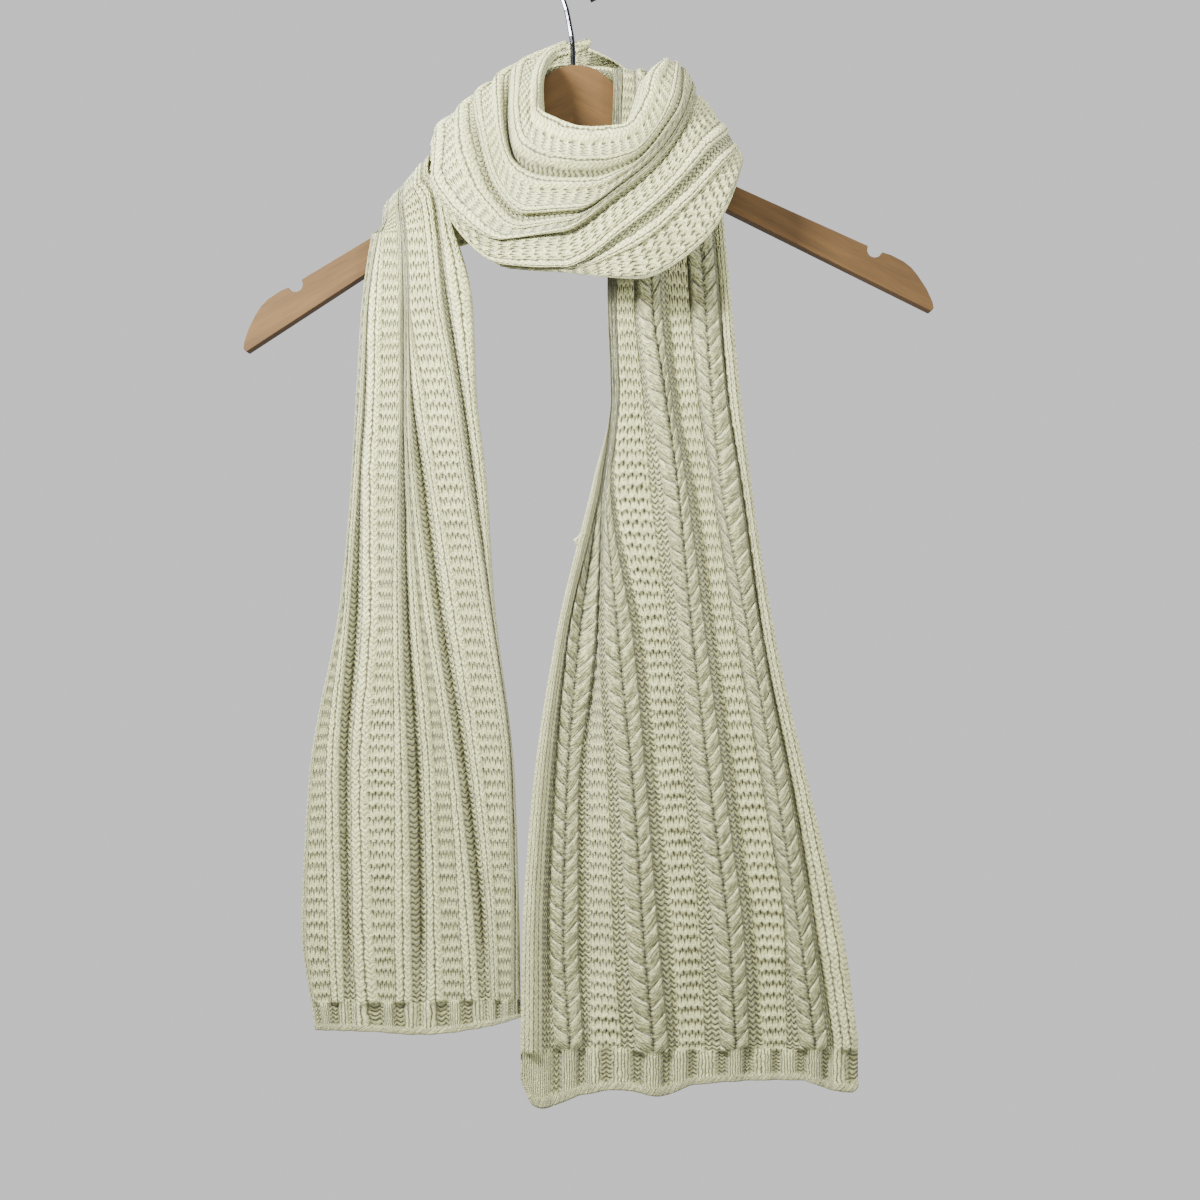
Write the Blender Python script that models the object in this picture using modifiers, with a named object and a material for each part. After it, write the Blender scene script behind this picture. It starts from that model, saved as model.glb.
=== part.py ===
"""Knit scarf wound once round the neck of a wooden hanger.

Sizes are in millimetres until the meshes are made. X runs to the right, Z up, and the front
faces -Y; `depth` is the distance in front of the hanger's mid plane, so y = -depth. The origin
is the underside of the hook's bend, where the hanger rests on its peg.
"""
import math

import bmesh
import bpy
import numpy as np
from mathutils import Matrix

MM = 0.001

# ------------------------------------------------------------------ driving sizes
WALL = 3.5               # thickness of the knit between its ribs

ROW = 3.75               # height of one knitted row
CROSSING = 3 * ROW       # the cables cross every third row
STRAND_HIGH = 4.5        # crest of a cable strand above the purl ground
STRAND_LOW = 2.2         # the dip between two crossings
STRAND_SLANT = 4.5       # how far a strand drops from its crest to the middle of the pair
CABLE_DIP = -0.6         # the dark line between the strands of a pair
CABLE_RISE = 1.0
STRAND_WIDTH = 10.0      # width at which a strand has its full height
RIB_HIGH = 2.4
RIB_WIDTH = 7.0
RECESS_DEEP = 7.0        # the cable backs fold inwards on the wrong side
RECESS_WIDTH = 9.0
WELT_HIGH = 1.5
WELT_RIBS = 14
LEAST_GAP = 0.6          # between two fold lines squeezed together

NECK_X = -5.0            # axis of the hook's stem
NECK_TOP = -75.4         # top of the wooden neck
TILT = math.radians(3.4)     # the right arm hangs higher
WOOD_THICK = 12.0
WOOD_EDGE = 1.6
ARM_TOP_AT_AXIS = -31.5
ARM_TOP_SLOPE = -0.525
ARM_UNDER_AT_AXIS = -45.2
ARM_UNDER_SLOPE = -0.573
NOTCH_X = 185.9
NOTCH_Z = -129.6
NOTCH_RADIUS = 4.9

WIRE = 3.2
BEND_RADIUS = 17.5
BEND_X = 0.0
BEND_Z = -BEND_RADIUS + WIRE / 2
HOLE_PLAY = 0.3
STEM_SUNK = 24.0


# ------------------------------------------------------------------ curves
def smooth(knots, values, at):
    """Read a smooth curve at one place; it never swings past its knots."""
    knots = np.asarray(knots, float)
    values = np.asarray(values, float)
    gaps = np.diff(knots)
    rises = (np.diff(values, axis=0).T / gaps).T
    product = rises[:-1] * rises[1:]
    total = np.where(rises[:-1] + rises[1:] == 0, 1, rises[:-1] + rises[1:])
    slopes = np.concatenate([rises[:1], np.where(product > 0, 2 * product / total, 0), rises[-1:]])
    at = min(max(at, knots[0]), knots[-1])
    k = min(int(np.searchsorted(knots, at, side="right")) - 1, len(gaps) - 1)
    t = (at - knots[k]) / gaps[k]
    near = (1 + 2 * t) * (1 - t) ** 2 * values[k] + t * (1 - t) ** 2 * gaps[k] * slopes[k]
    far = t * t * (3 - 2 * t) * values[k + 1] + t * t * (t - 1) * gaps[k] * slopes[k + 1]
    return near + far


def ramp(low, high, at):
    """0 below low, 1 above high, eased between."""
    t = min(max((at - low) / (high - low), 0.0), 1.0)
    return t * t * (3 - 2 * t)


# ------------------------------------------------------------------ closed walls
class Wall:
    """A closed wall: rails of vertices, joined two by two with strips of triangles."""

    def __init__(self):
        self.points = []
        self.faces = []

    def rail(self, points, keys):
        first = len(self.points)
        self.points.extend(tuple(p) for p in points)
        return list(range(first, first + len(points))), list(keys)

    def strip(self, rail_a, rail_b):
        a, keys_a = rail_a
        b, keys_b = rail_b
        i = 0
        j = 0
        while i < len(a) - 1 or j < len(b) - 1:
            b_done = j == len(b) - 1
            if b_done or (i < len(a) - 1 and keys_a[i + 1] <= keys_b[j + 1]):
                self.faces.append((a[i], a[i + 1], b[j]))
                i += 1
            else:
                self.faces.append((a[i], b[j + 1], b[j]))
                j += 1

    def sheet(self, rails):
        for rail_a, rail_b in zip(rails, rails[1:]):
            self.strip(rail_a, rail_b)

    def close(self, outer, inner, across_outer, across_inner):
        """Join two sheets of rails along their four edges."""
        self.strip(outer[0], inner[0])
        self.strip(outer[-1], inner[-1])
        for end in (0, -1):
            top = ([ids[end] for ids, _ in outer], across_outer)
            under = ([ids[end] for ids, _ in inner], across_inner)
            self.strip(top, under)

    def build(self, name, material):
        mesh = bpy.data.meshes.new(name)
        mesh.from_pydata([(x * MM, -d * MM, z * MM) for x, d, z in self.points], [], self.faces)
        bm = bmesh.new()
        bm.from_mesh(mesh)
        bmesh.ops.recalc_face_normals(bm, faces=bm.faces)
        bm.to_mesh(mesh)
        bm.free()
        for face in mesh.polygons:
            face.use_smooth = True
        return add_part(name, mesh, material)


# ------------------------------------------------------------------ hanging tails
# Each row is one fold line down the tail: the panel to its right, how far the line stands
# forward, and its x at each level.
RIGHT_LEVELS = (-222, -291, -342, -443, -545, -633, -697)
RIGHT_LINES = (
    ("curl", 0, (17, 19, 8, -16, -31, -37, -38)),
    ("shade", -4, (17, 19, 13, -9, -20, -24, -24)),
    ("strand", -7, (17, 19, 13, -8, -17, -20, -17)),
    ("strand", -6, (17, 19, 13, -1, -9, -11, -7)),
    ("purl", -6, (18, 20, 14, 10, -1, -1, 2)),
    ("garter", -4, (18, 20, 14, 10, 6, 7, 7)),
    ("purl", 3, (18, 20, 14, 12, 18, 21, 26)),
    ("strand", 4, (18, 20, 14, 15, 24, 29, 34)),
    ("strand", 4, (18, 21, 16, 24, 34, 40, 46)),
    ("purl", 3, (18, 22, 19, 34, 43, 50, 56)),
    ("garter", 1, (19, 23, 22, 41, 52, 60, 63)),
    ("purl", -1, (34, 40, 44, 57, 67, 76, 79)),
    ("strand", 3, (36, 43, 51, 62, 73, 84, 88)),
    ("strand", 3.5, (45, 54, 61, 71, 83, 94, 98)),
    ("purl", 2, (51, 58, 67, 80, 93, 104, 107)),
    ("garter", -2, (56, 62, 72, 87, 100, 111, 117)),
    ("purl", -4, (69, 75, 83, 99, 117, 130, 131)),
    ("strand", 3, (69, 76, 84, 99, 118, 130, 138)),
    ("strand", 3, (78, 83, 88, 107, 125, 139, 148)),
    ("crease", -2, (87, 93, 101, 115, 134, 148, 157)),
    ("edge", -5, (88, 93, 101, 116, 136, 150, 160)),
    ("end", 0, (95, 102, 108, 124, 147, 167, 176)),
)
LEFT_LEVELS = (-164, -228, -291, -342, -418, -532, -627, -693)
LEFT_LINES = (
    ("rib", -2, (-127, -138, -143, -146, -153, -173, -177.5, -168)),
    ("garter", 0, (-126, -136, -141, -145, -151, -170, -174, -165)),
    ("rib", 0, (-126, -136, -141, -145, -150, -162, -161, -157)),
    ("recess", 0, (-125, -135, -138, -141, -146, -153, -151, -149)),
    ("rib", 0, (-125, -135, -136, -139, -139, -146, -145, -142)),
    ("garter", 1, (-124, -125, -126, -128, -127, -134, -131, -126)),
    ("rib", 3, (-117, -115, -115, -117, -119, -118, -118, -117)),
    ("recess", 1, (-115, -113, -113, -114, -113, -109, -107, -106)),
    ("rib", -2, (-115, -113, -113, -111, -109, -100, -98, -98)),
    ("garter", -3, (-114, -111, -111, -109, -103, -92, -88, -85)),
    ("rib", -3, (-114, -111, -111, -108, -101, -84, -77, -73)),
    ("recess", -3, (-113, -110, -108, -104, -94, -77, -67, -63)),
    ("rib", -3, (-113, -110, -106, -97, -87, -69, -59, -56)),
    ("garter", -1, (-113, -109, -98, -91, -77, -61, -53, -51)),
    ("rib", 1, (-101, -94, -82, -75, -65, -48, -44, -44)),
    ("recess", 0, (-94, -87, -77, -70, -58, -44, -42, -42)),
    ("rib", -1, (-92, -83, -73, -66, -57, -43, -41, -41)),
    ("end", -2, (-88, -69, -66, -60, -55, -42, -39, -38)),
)
RIGHT_HEM = ((-38, -722), (-30, -738), (-24, -740), (0, -732), (25, -728), (50, -732), (72, -725),
             (114, -722), (139, -722), (160, -728.5), (172, -730), (179, -722))
LEFT_HEM = ((-168, -691), (-135, -692), (-100, -694), (-60, -689), (-38, -683))

RIGHT_TAIL = {
    "levels": RIGHT_LEVELS, "lines": RIGHT_LINES, "hem": RIGHT_HEM, "welt_top": -699,
    "crown_x": 21, "crown_z": -77, "crown_slope": 0.05, "crown_bow": 0.0137,
    "crown_span": (21, 82), "front": 18, "back": -15, "flat_from": -165, "fold_from": (-190, -260),
    "inner": tuple(range(22)), "sparse": 15,
}
LEFT_TAIL = {
    "levels": LEFT_LEVELS, "lines": LEFT_LINES, "hem": LEFT_HEM, "welt_top": -670,
    "crown_x": -110, "crown_z": -146.5, "crown_slope": 1.1, "crown_bow": 0,
    "crown_span": (-124, -97), "front": 15, "back": -14, "flat_from": -185, "fold_from": (-185, -240),
    "inner": (0, 1.5, 3, 3.5, 4, 5.5, 7, 7.5, 8, 9.5, 11, 11.5, 12, 13.5, 15, 15.5, 16, 17),
    "sparse": 32,
}
PANEL_LIFT = {"curl": 8.0, "shade": -1.0, "purl": -1.0, "garter": 0.0, "crease": -3.0,
              "edge": 5.0, "rib": RIB_HIGH, "recess": -RECESS_DEEP, "strand": STRAND_HIGH}
PANEL_WIDTH = {"curl": 14.0, "shade": 6.0, "purl": 7.0, "garter": 17.0, "crease": 6.0,
               "edge": 10.0, "rib": RIB_WIDTH, "recess": RECESS_WIDTH, "strand": STRAND_WIDTH}
UNIT = 100.0             # one step of a row's key below the arm


class Tail:
    """The surface of a hanging end, from the top of the arm down to the hem."""

    def __init__(self, spec):
        self.spec = spec
        self.kinds = [kind for kind, _, _ in spec["lines"]]
        self.folds = np.array([fold for _, fold, _ in spec["lines"]], float)
        at_levels = np.array([xs for _, _, xs in spec["lines"]], float).T
        left, right = spec["crown_span"]
        share = (at_levels[0] - at_levels[0][0]) / (at_levels[0][-1] - at_levels[0][0])
        crown = left + share * (right - left)
        self.levels = [-level for level in (spec["crown_z"],) + spec["levels"]]
        self.table = np.vstack([crown, at_levels])
        self.radius = (spec["front"] - spec["back"]) / 2
        self.middle = (spec["front"] + spec["back"]) / 2
        self.known = {}

    def lines_at(self, z):
        """x of every fold line at one height, kept a least gap apart."""
        key = round(z, 3)
        if key not in self.known:
            xs = smooth(self.levels, self.table, -z)
            for i in range(1, len(xs)):
                xs[i] = max(xs[i], xs[i - 1] + LEAST_GAP)
            self.known[key] = xs
        return self.known[key]

    def fold_at(self, i, xs, z):
        """How far fold line i stands forward, less where the folds are squeezed."""
        left = xs[i] - xs[i - 1] if i > 0 else 10
        right = xs[i + 1] - xs[i] if i < len(xs) - 1 else 10
        room = min((left + right) / 10, min(left, right) / 3, 1.0)
        high, low = self.spec["fold_from"]
        return self.folds[i] * room * (0.2 + 0.8 * ramp(-high, -low, -z)) * self.flatten(z)

    def flatten(self, z):
        """The folds ease out towards the stiffer welt."""
        top = self.spec["welt_top"]
        return 0.4 + 0.6 * ramp(top, top + 45, z)

    def section(self, u, z, crest=1.0, plain=False):
        """x and lift of the cloth at place u across the lines and height z."""
        xs = self.lines_at(z)
        i = min(int(u), len(xs) - 2)
        f = u - i
        x = xs[i] + f * (xs[i + 1] - xs[i])
        lift = (1 - f) * self.fold_at(i, xs, z) + f * self.fold_at(i + 1, xs, z)
        kind = self.kinds[i]
        if f > 0 and (not plain or kind == "recess"):
            room = min(1.0, (xs[i + 1] - xs[i]) / PANEL_WIDTH[kind])
            high, low = self.spec["fold_from"]
            fade = 0.5 + 0.5 * ramp(-high, -low, -z)
            if kind == "recess":
                fade *= self.flatten(z)
            lift += PANEL_LIFT[kind] * crest * room * fade * math.sin(math.pi * f)
        return x, lift

    def point(self, u, key, crest=1.0, drop=0.0, inward=0.0):
        """A point from its place across, its row key, and its depth into the wall."""
        spec = self.spec
        plain = inward > 0
        if key >= 2:
            z = spec["flat_from"] - (key - 2) * UNIT - drop
            x, lift = self.section(u, z, crest, plain)
            return x, spec["front"] + lift - inward, z
        level = spec["crown_z"] + max(key - 1, 0) * (spec["flat_from"] - spec["crown_z"])
        x, lift = self.section(u, level, crest, plain)
        away = x - spec["crown_x"]
        crown = spec["crown_z"] + spec["crown_slope"] * away - spec["crown_bow"] * away ** 2
        start = crown - self.radius
        if key > 1:
            z = start + (key - 1) * (spec["flat_from"] - start)
            return x, spec["front"] + lift - inward, z
        angle = math.pi * (1 - key)
        reach = self.radius + lift - inward
        return x, self.middle + reach * math.cos(angle), start + reach * math.sin(angle)

    def hem_at(self, x):
        xs, zs = zip(*self.spec["hem"])
        return float(smooth(xs, np.array(zs), x))


def tail_wall(name, spec, material):
    tail = Tail(spec)
    wall = Wall()
    over_arm = [0.5, 0.63, 0.75, 0.88, 1.0, 1.5]
    last = 2 + (spec["flat_from"] - spec["welt_top"]) / UNIT
    sparse = over_arm + list(np.linspace(2, last, int((last - 2) * UNIT / spec["sparse"]) + 1))
    crossings = int((last - 2) * UNIT / (CROSSING / 2))
    dense = [2 + (i + 0.5) * CROSSING / 2 / UNIT for i in range(crossings - 1)]

    outer = []
    across = []
    count = len(tail.kinds) - 1
    for i in range(count + 1):
        middle_of_pair = 0 < i <= count and tail.kinds[i - 1] == tail.kinds[i] == "strand"
        if middle_of_pair:
            keys = over_arm + dense + [last]
            points = [tail.point(i, k) for k in over_arm]
            for row, k in enumerate(dense):
                xs = tail.lines_at(spec["flat_from"] - (k - 2) * UNIT)
                room = min(1.0, (xs[i + 1] - xs[i - 1]) / 2 / STRAND_WIDTH)
                drop = STRAND_SLANT * room if row < len(dense) - 1 else 0
                x, d, z = tail.point(i, k, drop=drop)
                points.append((x, d + room * (CABLE_DIP if row % 2 else CABLE_RISE), z))
            points.append(tail.point(i, last))
        else:
            keys = sparse
            points = [tail.point(i, k) for k in keys]
        outer.append(wall.rail(points, keys))
        across.append(float(i))
        kind = tail.kinds[i]
        if kind == "strand":
            keys = over_arm + dense + [last]
            high = [STRAND_LOW / STRAND_HIGH] * len(over_arm)
            high += [1.0 if row % 2 == 0 else STRAND_LOW / STRAND_HIGH for row in range(len(dense))]
            high += [0.3]
            points = [tail.point(i + 0.5, k, crest=c) for k, c in zip(keys, high)]
            outer.append(wall.rail(points, keys))
            across.append(i + 0.5)
        elif kind in ("curl", "edge", "rib", "recess", "crease"):
            outer.append(wall.rail([tail.point(i + 0.5, k) for k in sparse], sparse))
            across.append(i + 0.5)

    inner_keys = over_arm + sparse[len(over_arm)::2]
    if inner_keys[-1] != last:
        inner_keys.append(last)
    inner = []
    for u in spec["inner"]:
        inner.append(wall.rail([tail.point(u, k, inward=WALL) for k in inner_keys], inner_keys))
    wall.sheet(outer)
    wall.sheet(inner)
    welt_outer, welt_inner, welt_across = welt(tail, wall, outer, inner, across, last)
    wall.strip(outer[0], inner[0])
    wall.strip(outer[-1], inner[-1])
    wall.strip(([ids[0] for ids, _ in outer], across),
               ([ids[0] for ids, _ in inner], list(spec["inner"])))
    wall.strip(([ids[-1] for ids, _ in welt_outer], welt_across[0]),
               ([ids[-1] for ids, _ in welt_inner], welt_across[1]))
    wall.strip(welt_outer[0], welt_inner[0])
    wall.strip(welt_outer[-1], welt_inner[-1])
    return wall.build(name, material)


def welt(tail, wall, outer, inner, across, last):
    """The ribbed band at the hem: its own columns, joined to the ends of the columns above."""
    top = tail.spec["welt_top"]
    xs = tail.lines_at(top)
    left = xs[0]
    width = xs[-1] - left
    steps = [0.0]
    for rib in range(WELT_RIBS):
        steps += [(rib + 0.3) / WELT_RIBS, (rib + 0.7) / WELT_RIBS]
        if rib < WELT_RIBS - 1:
            steps.append((rib + 1) / WELT_RIBS)
    steps.append(1.0)

    def place(share, down, inward, high):
        x = left + share * width
        u = float(np.interp(x, xs, range(len(xs))))
        _, lift = tail.section(u, top, plain=True)
        lift *= 1 - 0.5 * down
        hem = tail.hem_at(x)
        z = top + down * (hem - top)
        return x, tail.spec["front"] + lift + high - inward, z

    rows_down = (0.12, 0.55, 1.0)
    outer_rails = []
    for n, share in enumerate(steps):
        valley = n % 3 == 0
        high = -WELT_HIGH / 2 if valley else WELT_HIGH
        points = [place(share, down, 0, high) for down in rows_down]
        outer_rails.append(wall.rail(points, rows_down))
    inner_steps = steps[::3]
    inner_rails = []
    for share in inner_steps:
        points = [place(share, down, WALL, 0) for down in (0.12, 1.0)]
        inner_rails.append(wall.rail(points, (0.12, 1.0)))
    wall.sheet(outer_rails)
    wall.sheet(inner_rails)

    def share_of(u):
        return float((np.interp(u, range(len(xs)), xs) - left) / width)

    wall.strip(([ids[-1] for ids, _ in outer], [share_of(u) for u in across]),
               ([ids[0] for ids, _ in outer_rails], steps))
    wall.strip(([ids[-1] for ids, _ in inner], [share_of(u) for u in tail.spec["inner"]]),
               ([ids[0] for ids, _ in inner_rails], inner_steps))
    for side in (0, -1):
        corner_outer = [outer[side][0][-1], outer_rails[side][0][0]]
        corner_inner = [inner[side][0][-1], inner_rails[side][0][0]]
        wall.strip((corner_outer, [last, last + 1]), (corner_inner, [last, last + 1]))
    return outer_rails, inner_rails, (steps, inner_steps)


# ------------------------------------------------------------------ the turn in front
# Lines from the inside of the opening down to the selvedge, and how far each stands out from
# the crests of the rolls.
WRAP_LINES = ("rim", "roll_1", "valley_a", "roll_2", "valley_b", "roll_3", "crease", "garter_1",
              "rib", "valley_c", "garter_2", "selvedge")
WRAP_OUT = (0, 0, -9, 0, -8, 0, 0, -1, 1.5, -3, 0, -2)
CREASE = WRAP_LINES.index("crease")
CREASE_OUT = -9
RIM_BACK = 9.0           # the rim stands behind the first roll
WRAP_RIBS = (1.4, 2.6, 3.45, 4.55, 5.4, 6.4, 9.0)    # raised ribs, counted from the lip
WRAP_RIB_HIGH = 1.6
WRAP_RIB_HALF = 0.3
# Stations from behind the left shoulder, round the front, to behind the right shoulder. Columns:
# depth at the rim, the crease and the selvedge, share of the fold relief, share of the crease,
# turn-in of the rim, the point that the wall's thickness is measured towards (x, depth, z), then
# (x, z) of each line.
WRAP_STATIONS = (
    (-12, -12, -12, 0.3, 0.0, 6, (-20, -4, -125),
     ((6, -56), (-4, -56), (-19, -60), (-30, -72), (-40, -78), (-53, -92), (-67, -103),
      (-70, -111), (-71, -117), (-73, -122), (-74, -130), (-76, -134))),
    (3, 14, 11, 0.6, 0.0, 2.5, (-38, -2, -128),
     ((-18, -66), (-32, -74), (-47, -81), (-60, -92), (-71, -100), (-84, -113), (-94, -124),
      (-93, -130), (-92, -136), (-90, -139), (-88, -143), (-86, -146))),
    (36, 29, 13, 1.0, 0.0, 3, (-45, 0, -140),
     ((-25, -90), (-35, -102), (-46, -114), (-56, -124), (-67, -128), (-84, -144), (-94, -152),
      (-91, -157), (-88, -160), (-86, -162), (-83, -164), (-80, -166))),
    (42, 37, 10, 1.0, 0.1, 6, (-46, 6, -155),
     ((-26, -110), (-33, -123), (-42, -136), (-48, -153), (-55, -163), (-66, -174), (-80, -178),
      (-78, -181), (-75, -183), (-72, -184), (-69, -184.5), (-66, -184))),
    (50, 44, 22, 1.0, 0.6, 11, (-34, 12, -168),
     ((-15, -120), (-19, -137), (-23, -150), (-30, -170), (-34, -182), (-42, -191), (-50, -196),
      (-51, -201), (-51, -205), (-50, -207), (-49, -208), (-48, -207))),
    (55, 55, 52, 0.9, 0.9, 15, (-3, 18, -172),
     ((6, -127.5), (7, -142.5), (6, -154), (3, -171), (-5, -181), (-10, -188), (-13, -195),
      (-14, -203), (-11, -211), (-9, -213), (-7, -215.5), (-6, -217.5))),
    (56, 56, 56, 0.6, 0.6, 13, (26, 18, -168),
     ((25, -127), (31, -138.5), (31, -148), (29, -157), (26, -162), (23, -167.5), (21, -173),
      (23, -181), (26, -189), (29, -195), (33, -208), (36, -222))),
    (52, 52, 52, 0.4, 0.4, 12, (55, 14, -150),
     ((38, -111), (47, -120), (51, -127), (51, -135), (50.5, -139.5), (49.5, -144), (49, -148.5),
      (52, -153), (58, -161), (63, -167), (71, -178), (82, -192))),
    (44, 44, 44, 0.35, 0.35, 8, (66, 6, -130),
     ((43, -92), (54, -98), (62, -104), (65, -109), (65.5, -113), (65.5, -117.5), (66, -122),
      (69, -127), (77, -137), (84, -143.5), (90, -153), (97, -162))),
    (22, 22, 22, 0.3, 0.3, 6, (58, -8, -115),
     ((52, -78), (58, -78), (64, -81), (68, -86), (71, -90), (72.5, -94), (74, -98),
      (81, -107), (90, -120), (96, -128), (101, -135), (103, -140))),
    (-12, -19, -26, 0.3, 0.3, 6, (44, 4, -115),
     ((51, -71), (55, -70), (59, -71.5), (62, -75), (65, -80), (67, -85), (69, -90), (74, -99),
      (78, -112), (81, -121), (82, -131), (83, -141))),
)
LIP_DROP = 8.0           # the turned-in rim ends this far below its top


def wrap_lines(at):
    """Points of the lip and of every line, how far each stands out, and the thickness point."""
    places = range(len(WRAP_STATIONS))
    rim, crease, edge, share, creased, turn_in = smooth(places, [row[:6] for row in WRAP_STATIONS], at)
    core = smooth(places, [row[6] for row in WRAP_STATIONS], at)
    flat = smooth(places, [row[7] for row in WRAP_STATIONS], at)
    steps = np.arange(len(WRAP_LINES))
    depths = np.interp(steps, (0, CREASE, steps[-1]), (rim, crease, edge))
    depths[0] -= share * RIM_BACK
    points = np.column_stack([flat[:, 0], depths, flat[:, 1]])
    out = share * np.array(WRAP_OUT, float)
    out[CREASE] = creased * CREASE_OUT
    towards = np.array([-points[0][0], -points[0][1], 0.0])
    lip = points[0] + turn_in * towards / np.linalg.norm(towards)
    lip[2] -= LIP_DROP * turn_in / 18
    return np.vstack([lip, points]), np.concatenate([[0.0], out]), core


def between(points, u):
    """Smooth point across a row of line points; u counts lines."""
    i = min(int(u), len(points) - 2)
    f = u - i
    p1 = points[i]
    p2 = points[i + 1]
    p0 = points[max(i - 1, 0)]
    p3 = points[min(i + 2, len(points) - 1)]
    pull_1 = (p2 - p0) / 2
    pull_2 = (p3 - p1) / 2
    return ((1 + 2 * f) * (1 - f) ** 2 * p1 + f * (1 - f) ** 2 * pull_1
            + f * f * (3 - 2 * f) * p2 + f * f * (f - 1) * pull_2)


def roll(out, u):
    """Height of round rolls with sharp valleys, from the heights at the lines."""
    i = min(int(u), len(out) - 2)
    f = u - i
    if out[i] < out[i + 1]:
        f = 1 - f
    low = min(out[i], out[i + 1])
    high = max(out[i], out[i + 1])
    return low + (high - low) * math.sqrt(1 - f * f)


def band_wall(name, lines_at, rows, inner_rows, step, ribs, material):
    """A wall through rows of lines: fine outside, coarser inside."""
    wall = Wall()
    lines = {at: lines_at(at) for at in rows}
    count = len(lines[rows[0]][0])
    outer_across = [n * step for n in range(int((count - 1) / step) + 1)]
    inner_across = [float(n) for n in range(count)]

    def place(at, u, raised):
        points, out, core = lines[at]
        point = between(points, u)
        way = point - core
        return point + way / np.linalg.norm(way) * (roll(out, u) + raised)

    outer = []
    for u in outer_across:
        near = [max(1 - abs(u - rib) / WRAP_RIB_HALF, 0) for rib in ribs]
        raised = WRAP_RIB_HIGH * math.sqrt(max(near, default=0))
        outer.append(wall.rail([place(at, u, raised) for at in rows], rows))
    inner = []
    for u in inner_across:
        inner.append(wall.rail([place(at, u, -WALL) for at in inner_rows], inner_rows))
    wall.sheet(outer)
    wall.sheet(inner)
    wall.close(outer, inner, outer_across, inner_across)
    return wall.build(name, material)


# ------------------------------------------------------------------ passes behind the neck
# Columns: lower edge and rim (x, depth, z), bulge of the middle, share of the roll relief,
# the point that the thickness is measured towards.
BACK_STATIONS = (
    ((-124, 0.1, -161.9), (-97, 0.1, -132.2), 0, 0.0, (-98, 0, -198)),
    ((-125, -12, -172), (-88, -13, -127), 1, 0.4, (-92, 12, -168)),
    ((-114, -20, -189), (-72, -23, -110), 4, 0.8, (-85, 15, -150)),
    ((-84, -27, -186), (-54, -29, -88), 6, 1.0, (-62, 14, -140)),
    ((-44, -32, -171), (-31, -32, -67), 7, 1.0, (-35, 10, -120)),
    ((0, -34, -160), (-6, -34, -51), 7, 1.0, (-2, 8, -110)),
    ((36, -34, -156), (20, -34, -60), 7, 1.0, (26, 8, -108)),
    ((66, -33, -150), (34, -30, -70), 5, 0.8, (44, 8, -108)),
    ((83, -27.2, -142), (47, -18, -74), 2, 0.4, (42, 10, -115)),
)
INNER_STATIONS = (
    ((82, 1.0, -125), (21, 1.0, -77), 10, 0.0, (23, 1, -150)),
    ((81, -11, -146), (24, -7.5, -76), 3, 0.4, (30, 14, -130)),
    ((62, -11, -156), (20, -9.6, -73), 1.5, 0.7, (35, 22, -120)),
    ((25, -10.3, -154), (7, -10, -71.5), 1, 0.7, (15, 24, -115)),
    ((-12, -10.3, -149), (-10, -10, -71), 1, 0.7, (-8, 24, -110)),
    ((-38, -10.3, -144), (-29, -10, -75.5), 1, 0.4, (-28, 24, -110)),
)
ROLLS = (0, 1, -1, 1, -1, 1, -1, 1, 0)   # rolls and valleys from the lower edge to the rim
BACK_ROLL = 2.6
INNER_ROLL = 1.2


def pass_lines(stations, roll_high, at):
    """Line points of a pass behind the neck at one place along it."""
    places = range(len(stations))
    lower = smooth(places, [row[0] for row in stations], at)
    rim = smooth(places, [row[1] for row in stations], at)
    bulge, share = smooth(places, [row[2:4] for row in stations], at)
    core = smooth(places, [row[4] for row in stations], at)
    points = []
    for n in range(len(ROLLS)):
        v = n / (len(ROLLS) - 1)
        point = lower + v * (rim - lower)
        way = point - core
        points.append(point + way / np.linalg.norm(way) * bulge * math.sin(math.pi * v))
    return np.array(points), share * roll_high * np.array(ROLLS), core


# ------------------------------------------------------------------ hanger and hook
NECK_PROFILE = ((0, 0), (8, -1.0), (14, -3.4), (18, -6.2), (22, -10), (28, -17), (34, -25),
                (41, -35), (48, -45), (54, -54), (62, -64))
TIP_PROFILE = ((190.4, -131.4), (196, -133.5), (204, -138.2), (208.5, -142.3), (212, -147),
               (217.5, -156.5), (220.8, -165), (221.4, -169), (219.6, -171))
UNDER_PROFILE = ((62, -80.7), (44, -72.2), (22, -65), (0, -62.5))


def hanger_outline():
    """The whole outline in the hanger's own plane, right half then left half."""
    notch = []
    for degrees in range(150, 331, 20):
        turn = math.radians(degrees)
        notch.append((NOTCH_X + NOTCH_RADIUS * math.cos(turn),
                      NOTCH_Z + NOTCH_RADIUS * math.sin(turn)))
    arm_end = NOTCH_X + NOTCH_RADIUS * math.cos(math.radians(150)) - 0.4
    arm = [(x, ARM_TOP_AT_AXIS + ARM_TOP_SLOPE * x) for x in (100, 140, arm_end)]
    under = [(x, ARM_UNDER_AT_AXIS + ARM_UNDER_SLOPE * x) for x in (180, 140, 100)]
    right = list(NECK_PROFILE) + arm + notch + list(TIP_PROFILE) + under + list(UNDER_PROFILE)
    left = [(-x, z) for x, z in reversed(right[1:-1])]
    return right + left


def clean(mesh):
    """Weld the caps of a mesh made from a curve and turn its faces out."""
    bm = bmesh.new()
    bm.from_mesh(mesh)
    bmesh.ops.remove_doubles(bm, verts=bm.verts, dist=1e-6)
    bmesh.ops.recalc_face_normals(bm, faces=bm.faces)
    bm.to_mesh(mesh)
    bm.free()


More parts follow.
